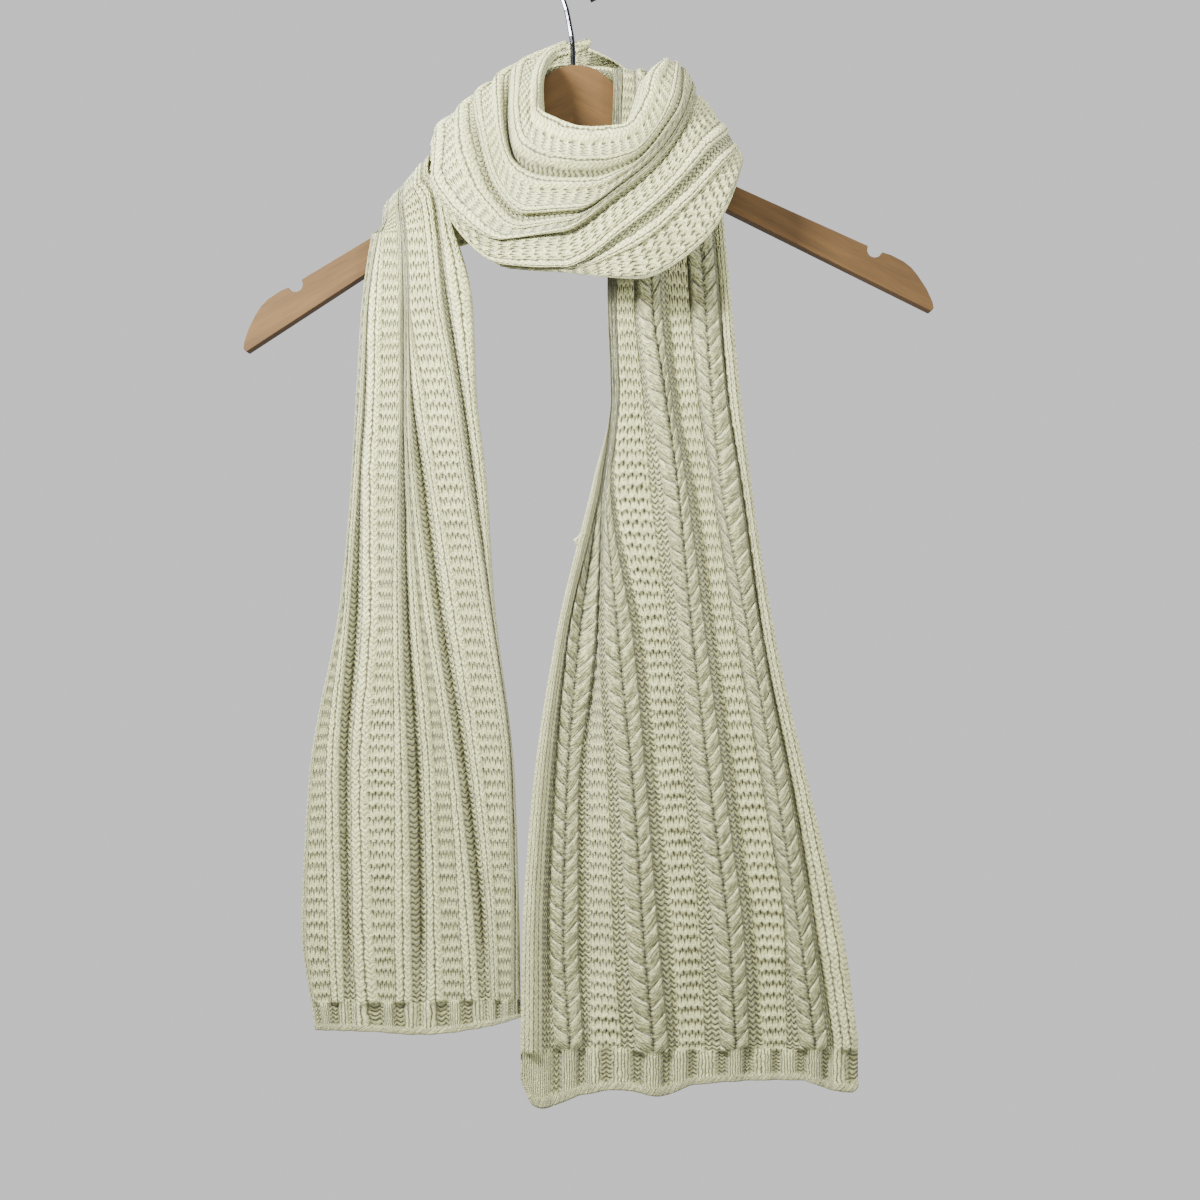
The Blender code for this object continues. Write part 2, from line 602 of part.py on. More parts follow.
def make_hanger(material, helpers):
    curve = bpy.data.curves.new("hanger_outline", "CURVE")
    curve.dimensions = "2D"
    curve.fill_mode = "BOTH"
    curve.extrude = WOOD_THICK / 2 * MM
    outline = hanger_outline()
    spline = curve.splines.new("POLY")
    spline.points.add(len(outline) - 1)
    for knot, (x, z) in zip(spline.points, outline):
        knot.co = (x * MM, z * MM, 0, 1)
    spline.use_cyclic_u = True
    flat = bpy.data.objects.new("hanger_flat", curve)
    mesh = bpy.data.meshes.new_from_object(flat)
    bpy.data.objects.remove(flat)
    bpy.data.curves.remove(curve)
    place = Matrix.Translation((NECK_X * MM, 0, NECK_TOP * MM))
    place = place @ Matrix.Rotation(-TILT, 4, "Y") @ Matrix.Rotation(math.pi / 2, 4, "X")
    mesh.transform(place)
    clean(mesh)
    wood = add_part("hanger_wood", mesh, material)

    round_over = wood.modifiers.new("rounded_edges", "BEVEL")
    round_over.width = WOOD_EDGE * MM
    round_over.segments = 2
    round_over.limit_method = "ANGLE"
    round_over.angle_limit = math.radians(50)

    hole_mesh = bpy.data.meshes.new("stem_hole")
    bm = bmesh.new()
    bottom = NECK_TOP - STEM_SUNK - HOLE_PLAY
    height = -bottom + NECK_TOP + 20
    middle = bottom + height / 2
    bmesh.ops.create_cone(bm, cap_ends=True, segments=16, radius1=(WIRE / 2 + HOLE_PLAY) * MM,
                          radius2=(WIRE / 2 + HOLE_PLAY) * MM, depth=height * MM,
                          matrix=Matrix.Translation((NECK_X * MM, 0, middle * MM)))
    bm.to_mesh(hole_mesh)
    bm.free()
    hole = bpy.data.objects.new("stem_hole", hole_mesh)
    hole.hide_render = True
    hole.display_type = "WIRE"
    helpers.objects.link(hole)
    cut = wood.modifiers.new("stem_hole", "BOOLEAN")
    cut.operation = "DIFFERENCE"
    cut.solver = "EXACT"
    cut.object = hole
    return wood


def hook_path():
    """The wire's mid line: straight stem, a slight lean, then the round bend."""
    lean = ((0, -STEM_SUNK), (0, 0), (-0.1, 8), (-0.4, 15), (-1.0, 20), (-1.9, 25), (-3.0, 31),
            (-4.2, 37), (-6.2, 43))
    path = [(NECK_X + x, NECK_TOP + z) for x, z in lean]
    for step in range(20):
        turn = math.radians(210 - 280 * step / 19)
        path.append((BEND_X + BEND_RADIUS * math.cos(turn), BEND_Z + BEND_RADIUS * math.sin(turn)))
    return path


def make_hook(material):
    curve = bpy.data.curves.new("hook", "CURVE")
    curve.dimensions = "3D"
    curve.bevel_depth = WIRE / 2 * MM
    curve.bevel_resolution = 2
    curve.use_fill_caps = True
    path = hook_path()
    spline = curve.splines.new("POLY")
    spline.points.add(len(path) - 1)
    for knot, (x, z) in zip(spline.points, path):
        knot.co = (x * MM, 0, z * MM, 1)
    rod = bpy.data.objects.new("hook_rod", curve)
    mesh = bpy.data.meshes.new_from_object(rod)
    bpy.data.objects.remove(rod)
    bpy.data.curves.remove(curve)
    clean(mesh)
    for face in mesh.polygons:
        face.use_smooth = True
    return add_part("hook", mesh, material)


# ------------------------------------------------------------------ scene
def make_material(name, colour, roughness, metallic=0.0):
    material = bpy.data.materials.new(name)
    material.use_nodes = True
    shader = material.node_tree.nodes["Principled BSDF"]
    shader.inputs["Base Color"].default_value = (*colour, 1)
    shader.inputs["Roughness"].default_value = roughness
    shader.inputs["Metallic"].default_value = metallic
    return material


def add_part(name, mesh, material):
    mesh.materials.clear()
    mesh.materials.append(material)
    part = bpy.data.objects.new(name, mesh)
    collection.objects.link(part)
    return part


for old in list(bpy.data.objects):
    bpy.data.objects.remove(old)

collection = bpy.data.collections.new("knit_scarf")
bpy.context.scene.collection.children.link(collection)
helper_collection = bpy.data.collections.new("helpers")
bpy.context.scene.collection.children.link(helper_collection)

yarn = make_material("cream_yarn", (0.78, 0.76, 0.62), 0.9)
beech = make_material("beech", (0.42, 0.25, 0.13), 0.45)
chrome = make_material("chrome_wire", (0.62, 0.63, 0.65), 0.15, 1.0)

tail_wall("tail_right", RIGHT_TAIL, yarn)
tail_wall("tail_left", LEFT_TAIL, yarn)

wrap_rows = [n / 3 for n in range(3 * (len(WRAP_STATIONS) - 1) + 1)]
band_wall("front_wrap", wrap_lines, wrap_rows, wrap_rows, 0.25, WRAP_RIBS, yarn)
back_rows = [n / 2 for n in range(2 * (len(BACK_STATIONS) - 1) + 1)]
band_wall("back_wrap", lambda at: pass_lines(BACK_STATIONS, BACK_ROLL, at), back_rows,
          back_rows[::2], 0.5, (), yarn)
inner_rows = [n / 2 for n in range(2 * (len(INNER_STATIONS) - 1) + 1)]
band_wall("inner_wrap", lambda at: pass_lines(INNER_STATIONS, INNER_ROLL, at), inner_rows,
          inner_rows[::2], 0.5, (), yarn)

make_hanger(beech, helper_collection)
make_hook(chrome)
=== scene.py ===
"""Cabled wool scarf wound round the neck of a wooden hanger: knitted surface and finishes.

Sizes are in millimetres until the meshes are made. X runs to the right, Z up, the front faces
-Y, and `depth` is the distance in front of the hanger's mid plane, so y = -depth.
"""
import math
from collections import namedtuple
from functools import partial

import bmesh
import bpy
import numpy as np
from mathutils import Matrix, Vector


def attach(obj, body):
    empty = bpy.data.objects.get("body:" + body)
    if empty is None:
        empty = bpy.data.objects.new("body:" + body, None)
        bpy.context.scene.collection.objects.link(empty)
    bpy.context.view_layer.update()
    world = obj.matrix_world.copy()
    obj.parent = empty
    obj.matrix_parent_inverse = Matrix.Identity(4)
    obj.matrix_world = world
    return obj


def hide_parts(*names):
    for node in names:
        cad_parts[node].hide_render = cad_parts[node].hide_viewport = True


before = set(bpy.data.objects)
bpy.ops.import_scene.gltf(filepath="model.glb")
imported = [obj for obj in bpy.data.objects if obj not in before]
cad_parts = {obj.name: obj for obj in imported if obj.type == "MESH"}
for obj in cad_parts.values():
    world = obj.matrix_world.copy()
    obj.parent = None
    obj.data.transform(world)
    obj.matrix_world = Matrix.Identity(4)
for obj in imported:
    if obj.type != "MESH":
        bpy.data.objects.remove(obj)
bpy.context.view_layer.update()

MM = 0.001
COARSE = 1

# ---------- the knitted cloth
WALL = 3.5               # thickness of the knit between its ribs
WARP = 0.8               # how far the rows stray from their lines
END_SWELLING = 0.45      # how far the hand-knitted ground stands out and in
TURN_SWELLING = 0.5
ROW = 3.75               # height of one knitted row
RIDGE = 2 * ROW          # garter ridges come every second row
RIDGE_HIGH = 1.8
RIDGE_HALF = 1.5         # half the width of a ridge
RIDGE_SWING = 1.1        # how far its zigzag goes up and down
GARTER_GROUND = -0.7     # the legs between the ridges stand on this
GARTER_LEG = 0.9
CROSSING = 3 * ROW       # the cables cross every third row
ROW_STEP = 1.2           # the mesh has this many millimetres between its rows
TURN_STEP = ROW_STEP * 0.92      # a little closer round the neck, where the cloth bends more
STRAND_HIGH = 5.0        # height of a cable's leaf at its start, and where it dips
STRAND_LOW = 1.8
LEFT_SLANT = 8.0         # how far a left strand's yarns drop on their way to the middle
RIGHT_SLANT = 11.5
WELT_HIGH = 2.0          # the welt's ribs stand out this far, and its gaps lie this deep
WELT_DEEP = 1.6
WELT_PERIOD = 17.0       # width of one rib of the welt with its gap
RIB_HALF = 0.33          # half a rib's width, as a share of that
WELT_ROW = 2.8           # the welt is knitted tighter than the body
BOUND_HIGH = 1.5         # the chain of the bound-off edge
LEAST_GAP = 0.6          # between two lines of panels
FLATTEN_OVER = 45.0      # the folds flatten towards the welt over this height
RIB_ROUND = 0.7          # a rib is rounder than a plain wave

# Each kind of panel: samples across the mesh, stitches, width, how far it stands out, how far its
# inner side does, how much of it is knit stitches, and how many of the welt's ribs it runs into.
Panel = namedtuple("Panel", "samples stitches width lift inner_lift knit welt_ribs")
PANELS = {
    "curl": Panel(12, 5, 14.0, 8.0, 0.0, 0.8, 1.0),
    "shade": Panel(3, 3, 6.0, -1.0, 0.0, 0.0, 0.412),
    "strand": Panel(9, 3, 10.0, 0.0, 0.0, 0.0, 0.588),
    "purl": Panel(4, 2, 7.0, -1.0, 1.0, 0.0, 0.412),
    "garter": Panel(16, 4, 17.0, 0.0, 0.3, 0.0, 1.0),
    "crease": Panel(4, 2, 6.0, -3.0, 0.0, 0.0, 0.412),
    "edge": Panel(8, 3, 10.0, 5.0, 0.0, 1.0, 0.6),
    "rib": Panel(8, 2, 7.0, 2.4, 0.0, 1.0, 0.412),
    "recess": Panel(6, 2, 9.0, -7.0, 0.0, 0.0, 1.176),
    "window": Panel(8, 4, 15.0, 0.0, 0.0, 0.0, 0.0),
}

# The lines between the panels of each end: the panel on a line's right, how far the line stands
# out, and its x at each of these levels.
RIGHT_LEVELS = (-222, -291, -342, -443, -545, -633, -697)
RIGHT_LINES = (
    ("curl", 0, (17, 19, 8, -16, -31, -37, -38)),
    ("shade", -4, (17, 19, 13, -9, -20, -24, -24)),
    ("strand", -7, (17, 19, 13, -8, -17, -20, -17)),
    ("strand", -6, (17, 19, 13, -1, -9, -11, -7)),
    ("purl", -6, (18, 20, 14, 10, -1, -1, 2)),
    ("garter", -4, (18, 20, 14, 10, 6, 7, 7)),
    ("purl", 3, (18, 20, 14, 12, 18, 21, 26)),
    ("strand", 4, (18, 20, 14, 15, 24, 29, 34)),
    ("strand", 4, (18, 21, 16, 24, 34, 40, 46)),
    ("purl", 3, (18, 22, 19, 34, 43, 50, 56)),
    ("garter", 1, (19, 23, 22, 41, 52, 60, 63)),
    ("purl", -1, (34, 40, 44, 57, 67, 76, 79)),
    ("strand", 3, (36, 43, 51, 62, 73, 84, 88)),
    ("strand", 3.5, (45, 54, 61, 71, 83, 94, 98)),
    ("purl", 2, (51, 58, 67, 80, 93, 104, 107)),
    ("garter", -2, (56, 62, 72, 87, 100, 111, 117)),
    ("purl", -4, (69, 75, 83, 99, 117, 130, 131)),
    ("strand", 3, (69, 76, 84, 99, 118, 130, 138)),
    ("strand", 3, (78, 83, 88, 107, 125, 139, 148)),
    ("crease", -2, (87, 93, 101, 115, 134, 148, 157)),
    ("edge", -5, (88, 93, 101, 116, 136, 150, 160)),
    ("end", 0, (95, 102, 108, 124, 147, 167, 176)),
)
LEFT_LEVELS = (-164, -228, -291, -342, -418, -532, -627, -693)
LEFT_LINES = (
    ("rib", -2, (-129, -139, -143, -146, -153, -173, -177.5, -168)),
    ("garter", 0, (-128, -138, -142, -145, -151, -170, -174, -165)),
    ("rib", 0, (-127, -137, -141, -145, -150, -162, -161, -157)),
    ("recess", 0, (-125, -135, -138, -141, -146, -153, -151, -149)),
    ("rib", 0, (-125, -135, -136, -139, -139, -146, -145, -142)),
    ("garter", 1, (-124, -125, -126, -128, -127, -134, -131, -126)),
    ("rib", 3, (-117, -115, -115, -117, -119, -118, -118, -117)),
    ("recess", 1, (-115, -113, -113, -114, -113, -109, -107, -106)),
    ("rib", -2, (-115, -113, -113, -111, -109, -100, -98, -98)),
    ("garter", -3, (-114, -111, -111, -109, -103, -92, -88, -85)),
    ("rib", -3, (-114, -111, -111, -108, -101, -84, -77, -73)),
    ("recess", -3, (-113, -110, -108, -104, -94, -77, -67, -63)),
    ("rib", -3, (-113, -110, -106, -97, -87, -69, -59, -56)),
    ("garter", -1, (-113, -109, -98, -91, -77, -61, -53, -51)),
    ("rib", 1, (-101, -94, -82, -75, -65, -48, -44, -44)),
    ("recess", 0, (-94, -87, -77, -70, -58, -44, -42, -42)),
    ("rib", -1, (-92, -83, -73, -66, -57, -43, -41, -41)),
    ("end", -2, (-88, -69, -66, -60, -55, -42, -39, -38)),
)
# The hems as x and z.
RIGHT_HEM = ((-38, -722), (-30, -738), (-24, -740), (0, -732), (25, -728), (50, -732), (72, -725),
             (114, -722), (139, -722), (160, -728.5), (172, -730), (179, -722))
LEFT_HEM = ((-168, -691), (-135, -692), (-100, -694), (-60, -689), (-38, -683))
RIGHT_TAIL = {
    "levels": RIGHT_LEVELS, "lines": RIGHT_LINES, "hem": RIGHT_HEM, "welt_top": -699,
    "crown_x": 21, "crown_z": -77, "crown_slope": 0.05, "crown_bow": 0.0137,
    "crown_span": (21, 82), "front": 18, "back": -15, "flat_from": -165,
    "fold_from": (-190, -260), "fine_from": -206, "seed": 3, "first_rib": 0.25, "rib_start": 0.75,
}
LEFT_TAIL = {
    "levels": LEFT_LEVELS, "lines": LEFT_LINES, "hem": LEFT_HEM, "welt_top": -670,
    "crown_x": -110, "crown_z": -146.5, "crown_slope": 1.1, "crown_bow": 0,
    "crown_span": (-126, -97), "front": 15, "back": -14, "flat_from": -185,
    "fold_from": (-185, -240), "fine_from": -185, "seed": 8, "first_rib": 0.5, "rib_start": 0.0,
}
UNIT = 100.0             # one step of a row's key below the arm

# The front turn's lines across the cloth, and how far each stands out.
WRAP_LINES = ("rim", "roll_1", "valley_a", "roll_2", "valley_b", "roll_3", "crease", "garter_1",
              "rib", "valley_c", "garter_2", "selvedge")
WRAP_OUT = (0, 0, -9, 0, -8, 0, 0, -1, 1.5, -3, 0, -2)
CREASE = WRAP_LINES.index("crease")
CREASE_OUT = -9
RIM_BACK = 9.0           # how far the rim turns back into the opening
LIP_DROP = 8 / 18        # the turned-in lip sinks this much for each millimetre inward
# Panels of the turn from the inside of the opening to the selvedge, and where each one ends.
WRAP_PANELS = (("edge", 0.9), ("rib", 1.75), ("garter", 2.3), ("rib", 2.9), ("recess", 3.2),
               ("rib", 3.7), ("window", 4.3), ("rib", 4.8), ("recess", 5.15), ("rib", 5.65),
               ("garter", 6.15), ("rib", 6.7), ("recess", 7.1), ("garter", 8.65), ("rib", 9.35),
               ("recess", 10.1), ("rib", 10.6), ("garter", 11.75), ("edge", 12.0))
PASS_PANELS = (("edge", 0.3), ("garter", 1.1), ("rib", 1.7), ("recess", 2.3), ("rib", 2.7),
               ("garter", 3.3), ("rib", 3.7), ("recess", 4.3), ("rib", 4.7), ("garter", 5.3),
               ("rib", 5.7), ("recess", 6.3), ("rib", 6.7), ("garter", 7.5), ("edge", 8.0))
# Places round the front turn: the depths of its rim, crease and selvedge, how full its rolls are,
# how deep its crease is, how far its lip turns in, the point it is wrapped round as x, depth and
# z, and the x and z of each line.
WRAP_STATIONS = (
    (-12, -12, -12, 0.3, 0.0, 6, (-20, -4, -125),
     ((6, -56), (-4, -56), (-19, -60), (-30, -72), (-40, -78), (-53, -92), (-67, -103),
      (-70, -111), (-71, -117), (-73, -122), (-74, -130), (-76, -134))),
    (3, 14, 11, 0.6, 0.0, 2.5, (-38, -2, -128),
     ((-18, -66), (-32, -74), (-47, -81), (-60, -92), (-71, -100), (-84, -113), (-94, -124),
      (-93, -130), (-92, -136), (-90, -139), (-88, -143), (-86, -146))),
    (36, 29, 13, 1.0, 0.0, 3, (-45, 0, -140),
     ((-25, -90), (-35, -102), (-46, -114), (-56, -124), (-67, -128), (-84, -144), (-94, -152),
      (-91, -157), (-88, -160), (-86, -162), (-83, -164), (-80, -166))),
    (42, 37, 10, 1.0, 0.1, 6, (-46, 6, -155),
     ((-26, -110), (-33, -123), (-42, -136), (-48, -153), (-55, -163), (-66, -174), (-80, -178),
      (-78, -181), (-75, -183), (-72, -184), (-69, -184.5), (-66, -184))),
    (50, 44, 22, 1.0, 0.6, 11, (-34, 12, -168),
     ((-15, -120), (-19, -137), (-23, -150), (-30, -170), (-34, -182), (-42, -191), (-50, -196),
      (-51, -201), (-51, -205), (-50, -207), (-49, -208), (-48, -207))),
    (55, 55, 52, 0.9, 0.9, 15, (-3, 18, -172),
     ((6, -127.5), (7, -142.5), (6, -154), (3, -171), (-5, -181), (-10, -188), (-13, -195),
      (-14, -203), (-11, -211), (-9, -213), (-7, -215.5), (-6, -217.5))),
    (56, 56, 56, 0.6, 0.6, 13, (26, 18, -168),
     ((25, -127), (31, -138.5), (31, -148), (29, -157), (26, -162), (23, -167.5), (21, -173),
      (23, -181), (26, -189), (29, -195), (33, -208), (36, -222))),
    (52, 52, 52, 0.4, 0.4, 12, (55, 14, -150),
     ((38, -111), (47, -120), (51, -127), (51, -135), (50.5, -139.5), (49.5, -144), (49, -148.5),
      (52, -153), (58, -161), (63, -167), (71, -178), (82, -192))),
    (44, 44, 44, 0.35, 0.35, 8, (66, 6, -130),
     ((43, -92), (54, -98), (62, -104), (65, -109), (65.5, -113), (65.5, -117.5), (66, -122),
      (69, -127), (77, -137), (84, -143.5), (90, -153), (97, -162))),
    (22, 22, 22, 0.3, 0.3, 6, (58, -8, -115),
     ((52, -78), (58, -78), (64, -81), (68, -86), (71, -90), (72.5, -94), (74, -98),
      (81, -107), (90, -120), (96, -128), (101, -135), (103, -140))),
    (-12, -19, -26, 0.3, 0.3, 6, (44, 4, -115),
     ((51, -71), (55, -70), (59, -71.5), (62, -75), (65, -80), (67, -85), (69, -90), (74, -99),
      (78, -112), (81, -121), (82, -131), (83, -141))),
)
# Places along a pass behind the neck: its lower and its upper edge, how far it bulges, how full
# its rolls are, and the point it is wrapped round, each point as x, depth and z.
BACK_STATIONS = (
    ((-126, 0.1, -164.1), (-97, 0.1, -132.2), 0, 0.0, (-98, 0, -198)),
    ((-125, -12, -172), (-88, -13, -127), 1, 0.4, (-92, 12, -168)),
    ((-114, -20, -189), (-72, -23, -110), 4, 0.8, (-85, 15, -150)),
    ((-84, -27, -186), (-54, -29, -88), 6, 1.0, (-62, 14, -140)),
    ((-44, -32, -171), (-31, -32, -67), 7, 1.0, (-35, 10, -120)),
    ((0, -34, -160), (-6, -34, -51), 7, 1.0, (-2, 8, -110)),
    ((36, -34, -156), (20, -34, -60), 7, 1.0, (26, 8, -108)),
    ((66, -33, -150), (34, -30, -70), 5, 0.8, (44, 8, -108)),
    ((83, -27.2, -142), (47, -18, -74), 2, 0.4, (42, 10, -115)),
)
INNER_STATIONS = (
    ((82, 1.0, -125), (21, 1.0, -77), 10, 0.0, (23, 1, -150)),
    ((81, -11, -146), (24, -7.5, -76), 3, 0.4, (30, 14, -130)),
    ((62, -11, -156), (20, -9.6, -73), 1.5, 0.7, (35, 22, -120)),
    ((25, -10.3, -154), (7, -10, -71.5), 1, 0.7, (15, 24, -115)),
    ((-12, -10.3, -149), (-10, -10, -71), 1, 0.7, (-8, 24, -110)),
    ((-38, -10.3, -144), (-29, -10, -75.5), 1, 0.4, (-28, 24, -110)),
)
ROLLS = (0, 1, -1, 1, -1, 1, -1, 1, 0)
BACK_ROLL = 2.6          # how far the rolls of each pass stand out and in
INNER_ROLL = 1.2
OWN_RUN = 0.55           # how far rows keep to their own strip's length, not the turn's middle
EDGE_LEG = 0.4           # a plain leg of yarn runs down each outer edge, in stitches
BOUND_FROM = (0.80, 0.88)        # where the ribs end, as shares of the welt's depth
BEADS_FROM = 0.78        # the bound-off beads: leaves of a strand that lie along the edge
BEAD_LEAN = 1.2          # leaves by which a bead leans over from its start to its end
BEAD_YARN = 0.35         # the place across a strand that all beads show

SNAG_AT = -380.0         # height of a pulled loop on the right end's left edge
SNAG_OUT = 3.5           # how far it stands out, and half its width
SNAG_HALF = 2.2

NECK_X = -5.0            # axis of the hook's stem
ARM_SLOPE = math.radians(27.7)

TUG_PATCH = 25 / 6       # each stitch is tugged its own way
HAIR_PATCH = 10 / 9      # a real hair is too fine to show, so it is drawn this coarse
CLOUD_PATCH = 200 / 9    # slow changes in the wool's shade
GRAIN_LONG = 1000 / 9    # a streak of the wood's grain along the arm, over it and through it
GRAIN_WIDE = 100 / 13
GRAIN_THICK = 50 / 3
PORES_TO_STREAK = 7.0
RUB_PATCH = 10 / 3       # rub marks on the wire
WOOL_LIGHT = "#EDEFAC"
WOOL_SHADOW = "#737349"
DARK_GAP = "#2F2F1D"     # the shade in the holes between stitches
STAIN_PINK = "#D39A8E"
STAIN_AT = (0.1635, -0.019, -0.607)      # in metres
STAIN_SPREAD = (0.002, 0.009)            # it fades out between these distances
STAIN_STRENGTH = 0.22

FLOOR_REACH = 2.0        # the studio, in metres
FLOOR_LEVEL = -1.65
SENSOR_WIDE = 36
CAMERA_AT = (0.0123, -1.2, -0.418)
SEEN_WIDE = 772          # millimetres across the view, 1200 from the camera


# ---------- curves and noise
def bend(t, start, leaving, end, arriving):
    """The smooth way from start to end with these slopes, a share t along it."""
    return ((1 + 2 * t) * (1 - t) ** 2 * start + t * (1 - t) ** 2 * leaving
            + t * t * (3 - 2 * t) * end + t * t * (t - 1) * arriving)


def length_along(path):
    """Distance along the points of a path, from its start."""
    return np.concatenate([[0], np.cumsum(np.linalg.norm(np.diff(path, axis=0), axis=1))])


def unit(vectors):
    """The same directions, each of length 1."""
    return vectors / np.linalg.norm(vectors, axis=1)[:, None]


def every(step, number):
    """Each index that is a whole number of steps, and the last one."""
    return sorted({*range(0, number, step), number - 1})


class Curve:
    """A smooth curve through rows of values; it never swings past its knots."""

    def __init__(self, knots, values):
        self.knots = np.asarray(knots, float)
        self.shape = np.asarray(values, float).shape[1:]
        self.values = np.asarray(values, float).reshape(len(self.knots), -1)
        rises = np.diff(self.values, axis=0) / np.diff(self.knots)[:, None]
        product = rises[:-1] * rises[1:]
        total = np.where(rises[:-1] + rises[1:] == 0, 1, rises[:-1] + rises[1:])
        eased = np.where(product > 0, 2 * product / total, 0)
        self.slopes = np.concatenate([rises[:1], eased, rises[-1:]])

    def at(self, places):
        """The row of values at each place."""
        places = np.clip(np.atleast_1d(np.asarray(places, float)), self.knots[0], self.knots[-1])
        k = np.clip(np.searchsorted(self.knots, places, side="right") - 1, 0, len(self.knots) - 2)
        gap = (self.knots[k + 1] - self.knots[k])[:, None]
        t = (places - self.knots[k])[:, None] / gap
        values = bend(t, self.values[k], gap * self.slopes[k],
                      self.values[k + 1], gap * self.slopes[k + 1])
        return values.reshape((len(places),) + self.shape)


def ramp(low, high, at):
    """0 below low, 1 above high, eased between."""
    t = np.clip((np.asarray(at, float) - low) / (high - low), 0, 1)
    return t * t * (3 - 2 * t)


def unevenness(x, y, seed):
    """Slow random variation between -1 and 1, for hand-made irregularity."""
    rng = np.random.default_rng(seed)
    lattice = rng.uniform(-1, 1, (64, 64))
    x = np.asarray(x, float) % 63
    y = np.asarray(y, float) % 63
    i = x.astype(int)
    j = y.astype(int)
    fx = (x - i) ** 2 * (3 - 2 * (x - i))
    fy = (y - j) ** 2 * (3 - 2 * (y - j))
    low = lattice[i, j] * (1 - fx) + lattice[i + 1, j] * fx
    high = lattice[i, j + 1] * (1 - fx) + lattice[i + 1, j + 1] * fx
    return low * (1 - fy) + high * fy


def stray(stitch, along, seed):
    """How far a row strays from its line, over patches of 3 stitches by 9 mm."""
    return WARP * unevenness(stitch / 3, along / 9, seed)


def swelling(stitch, along, seed):
    """How far the cloth stands out, -1 to 1, over patches of 2 stitches by 14 mm."""
    return unevenness(stitch / 2.2 + 7, along / 14, seed + 1)


# ---------- stitch relief
def garter_relief(f, down):
    """Height and fullness of ridges of purl bumps, each a zigzag of four loops over legs."""
    down = down + RIDGE_SWING * math.cos(2 * math.pi * 4 * f)
    place = (down / RIDGE) % 1.0
    away = RIDGE * np.minimum(place, 1 - place)
    ridge = np.exp(-(away / RIDGE_HALF) ** 2)
    legs = ramp(0.12, 0.6, place)
    high = RIDGE_HIGH * ridge + GARTER_LEG * legs + GARTER_GROUND
    return high, np.clip(ridge + 0.6 * legs, 0, 1)


def strand_relief(f, down, left):
    """One strand of a cable pair: leaves that start sharply and dip under the next one."""
    toward_middle = f if left else 1 - f
    slant = LEFT_SLANT if left else RIGHT_SLANT
    twist = (down - slant * toward_middle ** 0.7) / CROSSING
    place = twist % 1.0
    leaf = ramp(0.0, 0.12, place) * (1 - 0.85 * np.clip((place - 0.15) / 0.85, 0, 1) ** 1.5)
    across = abs(2 * (0.05 + 0.92 * toward_middle) - 1)
    dome = max(1 - across ** 3, 0) ** 0.6
    high = STRAND_LOW + (STRAND_HIGH - STRAND_LOW) * leaf
    return dome * high, twist, leaf * dome


def panel_relief(kind, f, down, room, left_strand=True):
    """Height of the stitches over a panel's ground, its yarn twist, and the share of painted shade
    on it.
    """
    zero = np.zeros_like(down)
    # the third value is painted shade: the hollows under leaves, between ridges and bumps, and
    # down the recesses are darkened in colour
    if kind == "strand":
        high, twist, crest = strand_relief(f, down, left_strand)
        return high * room, twist, 0.62 * (1 - crest) ** 1.3
    if kind == "garter":
        high, ridge = garter_relief(f, down)
        sides = min(1.0, 8 * f, 8 * (1 - f))
        return high * room * sides, zero, 0.42 * (1 - ridge)
    if kind == "window":
        high, ridge = garter_relief(f, down)
        sink = math.sin(math.pi * f)
        return (0.8 * high - 1.4) * room * sink, zero, 0.10 + 0.55 * sink * (1 - ridge)
    if kind in ("curl", "edge"):
        columns = abs(math.sin(3 * math.pi * f)) ** 0.5
        return 0.5 * columns * room, zero, zero
    if kind == "rib":
        columns = abs(math.sin(2 * math.pi * f)) ** 0.5
        return 0.6 * columns * room, zero, zero
    bumps = np.sin(2 * math.pi * (down / ROW + 0.25 * math.cos(4 * math.pi * f)))
    if kind == "recess":
        bumps = 0.9 * bumps
        side = math.sin(math.pi * f)
        return bumps * room * side, zero, 0.08 + 0.36 * side - 0.14 * bumps * side
    if kind == "purl":
        bumps = 0.5 * bumps
        return bumps * room, zero, 0.46 - 0.2 * bumps
    return zero, zero, 0.45 + zero


# ---------- meshes
def put(name, data):
    """An object of this mesh, light or camera, in the scene."""
    item = bpy.data.objects.new(name, data)
    bpy.context.scene.collection.objects.link(item)
    return item


def blank(rows, columns):
    """Empty points, stitches, looks and weaves of a grid."""
    return [np.zeros((rows, columns, size)) for size in (3, 2, 3, 4)]


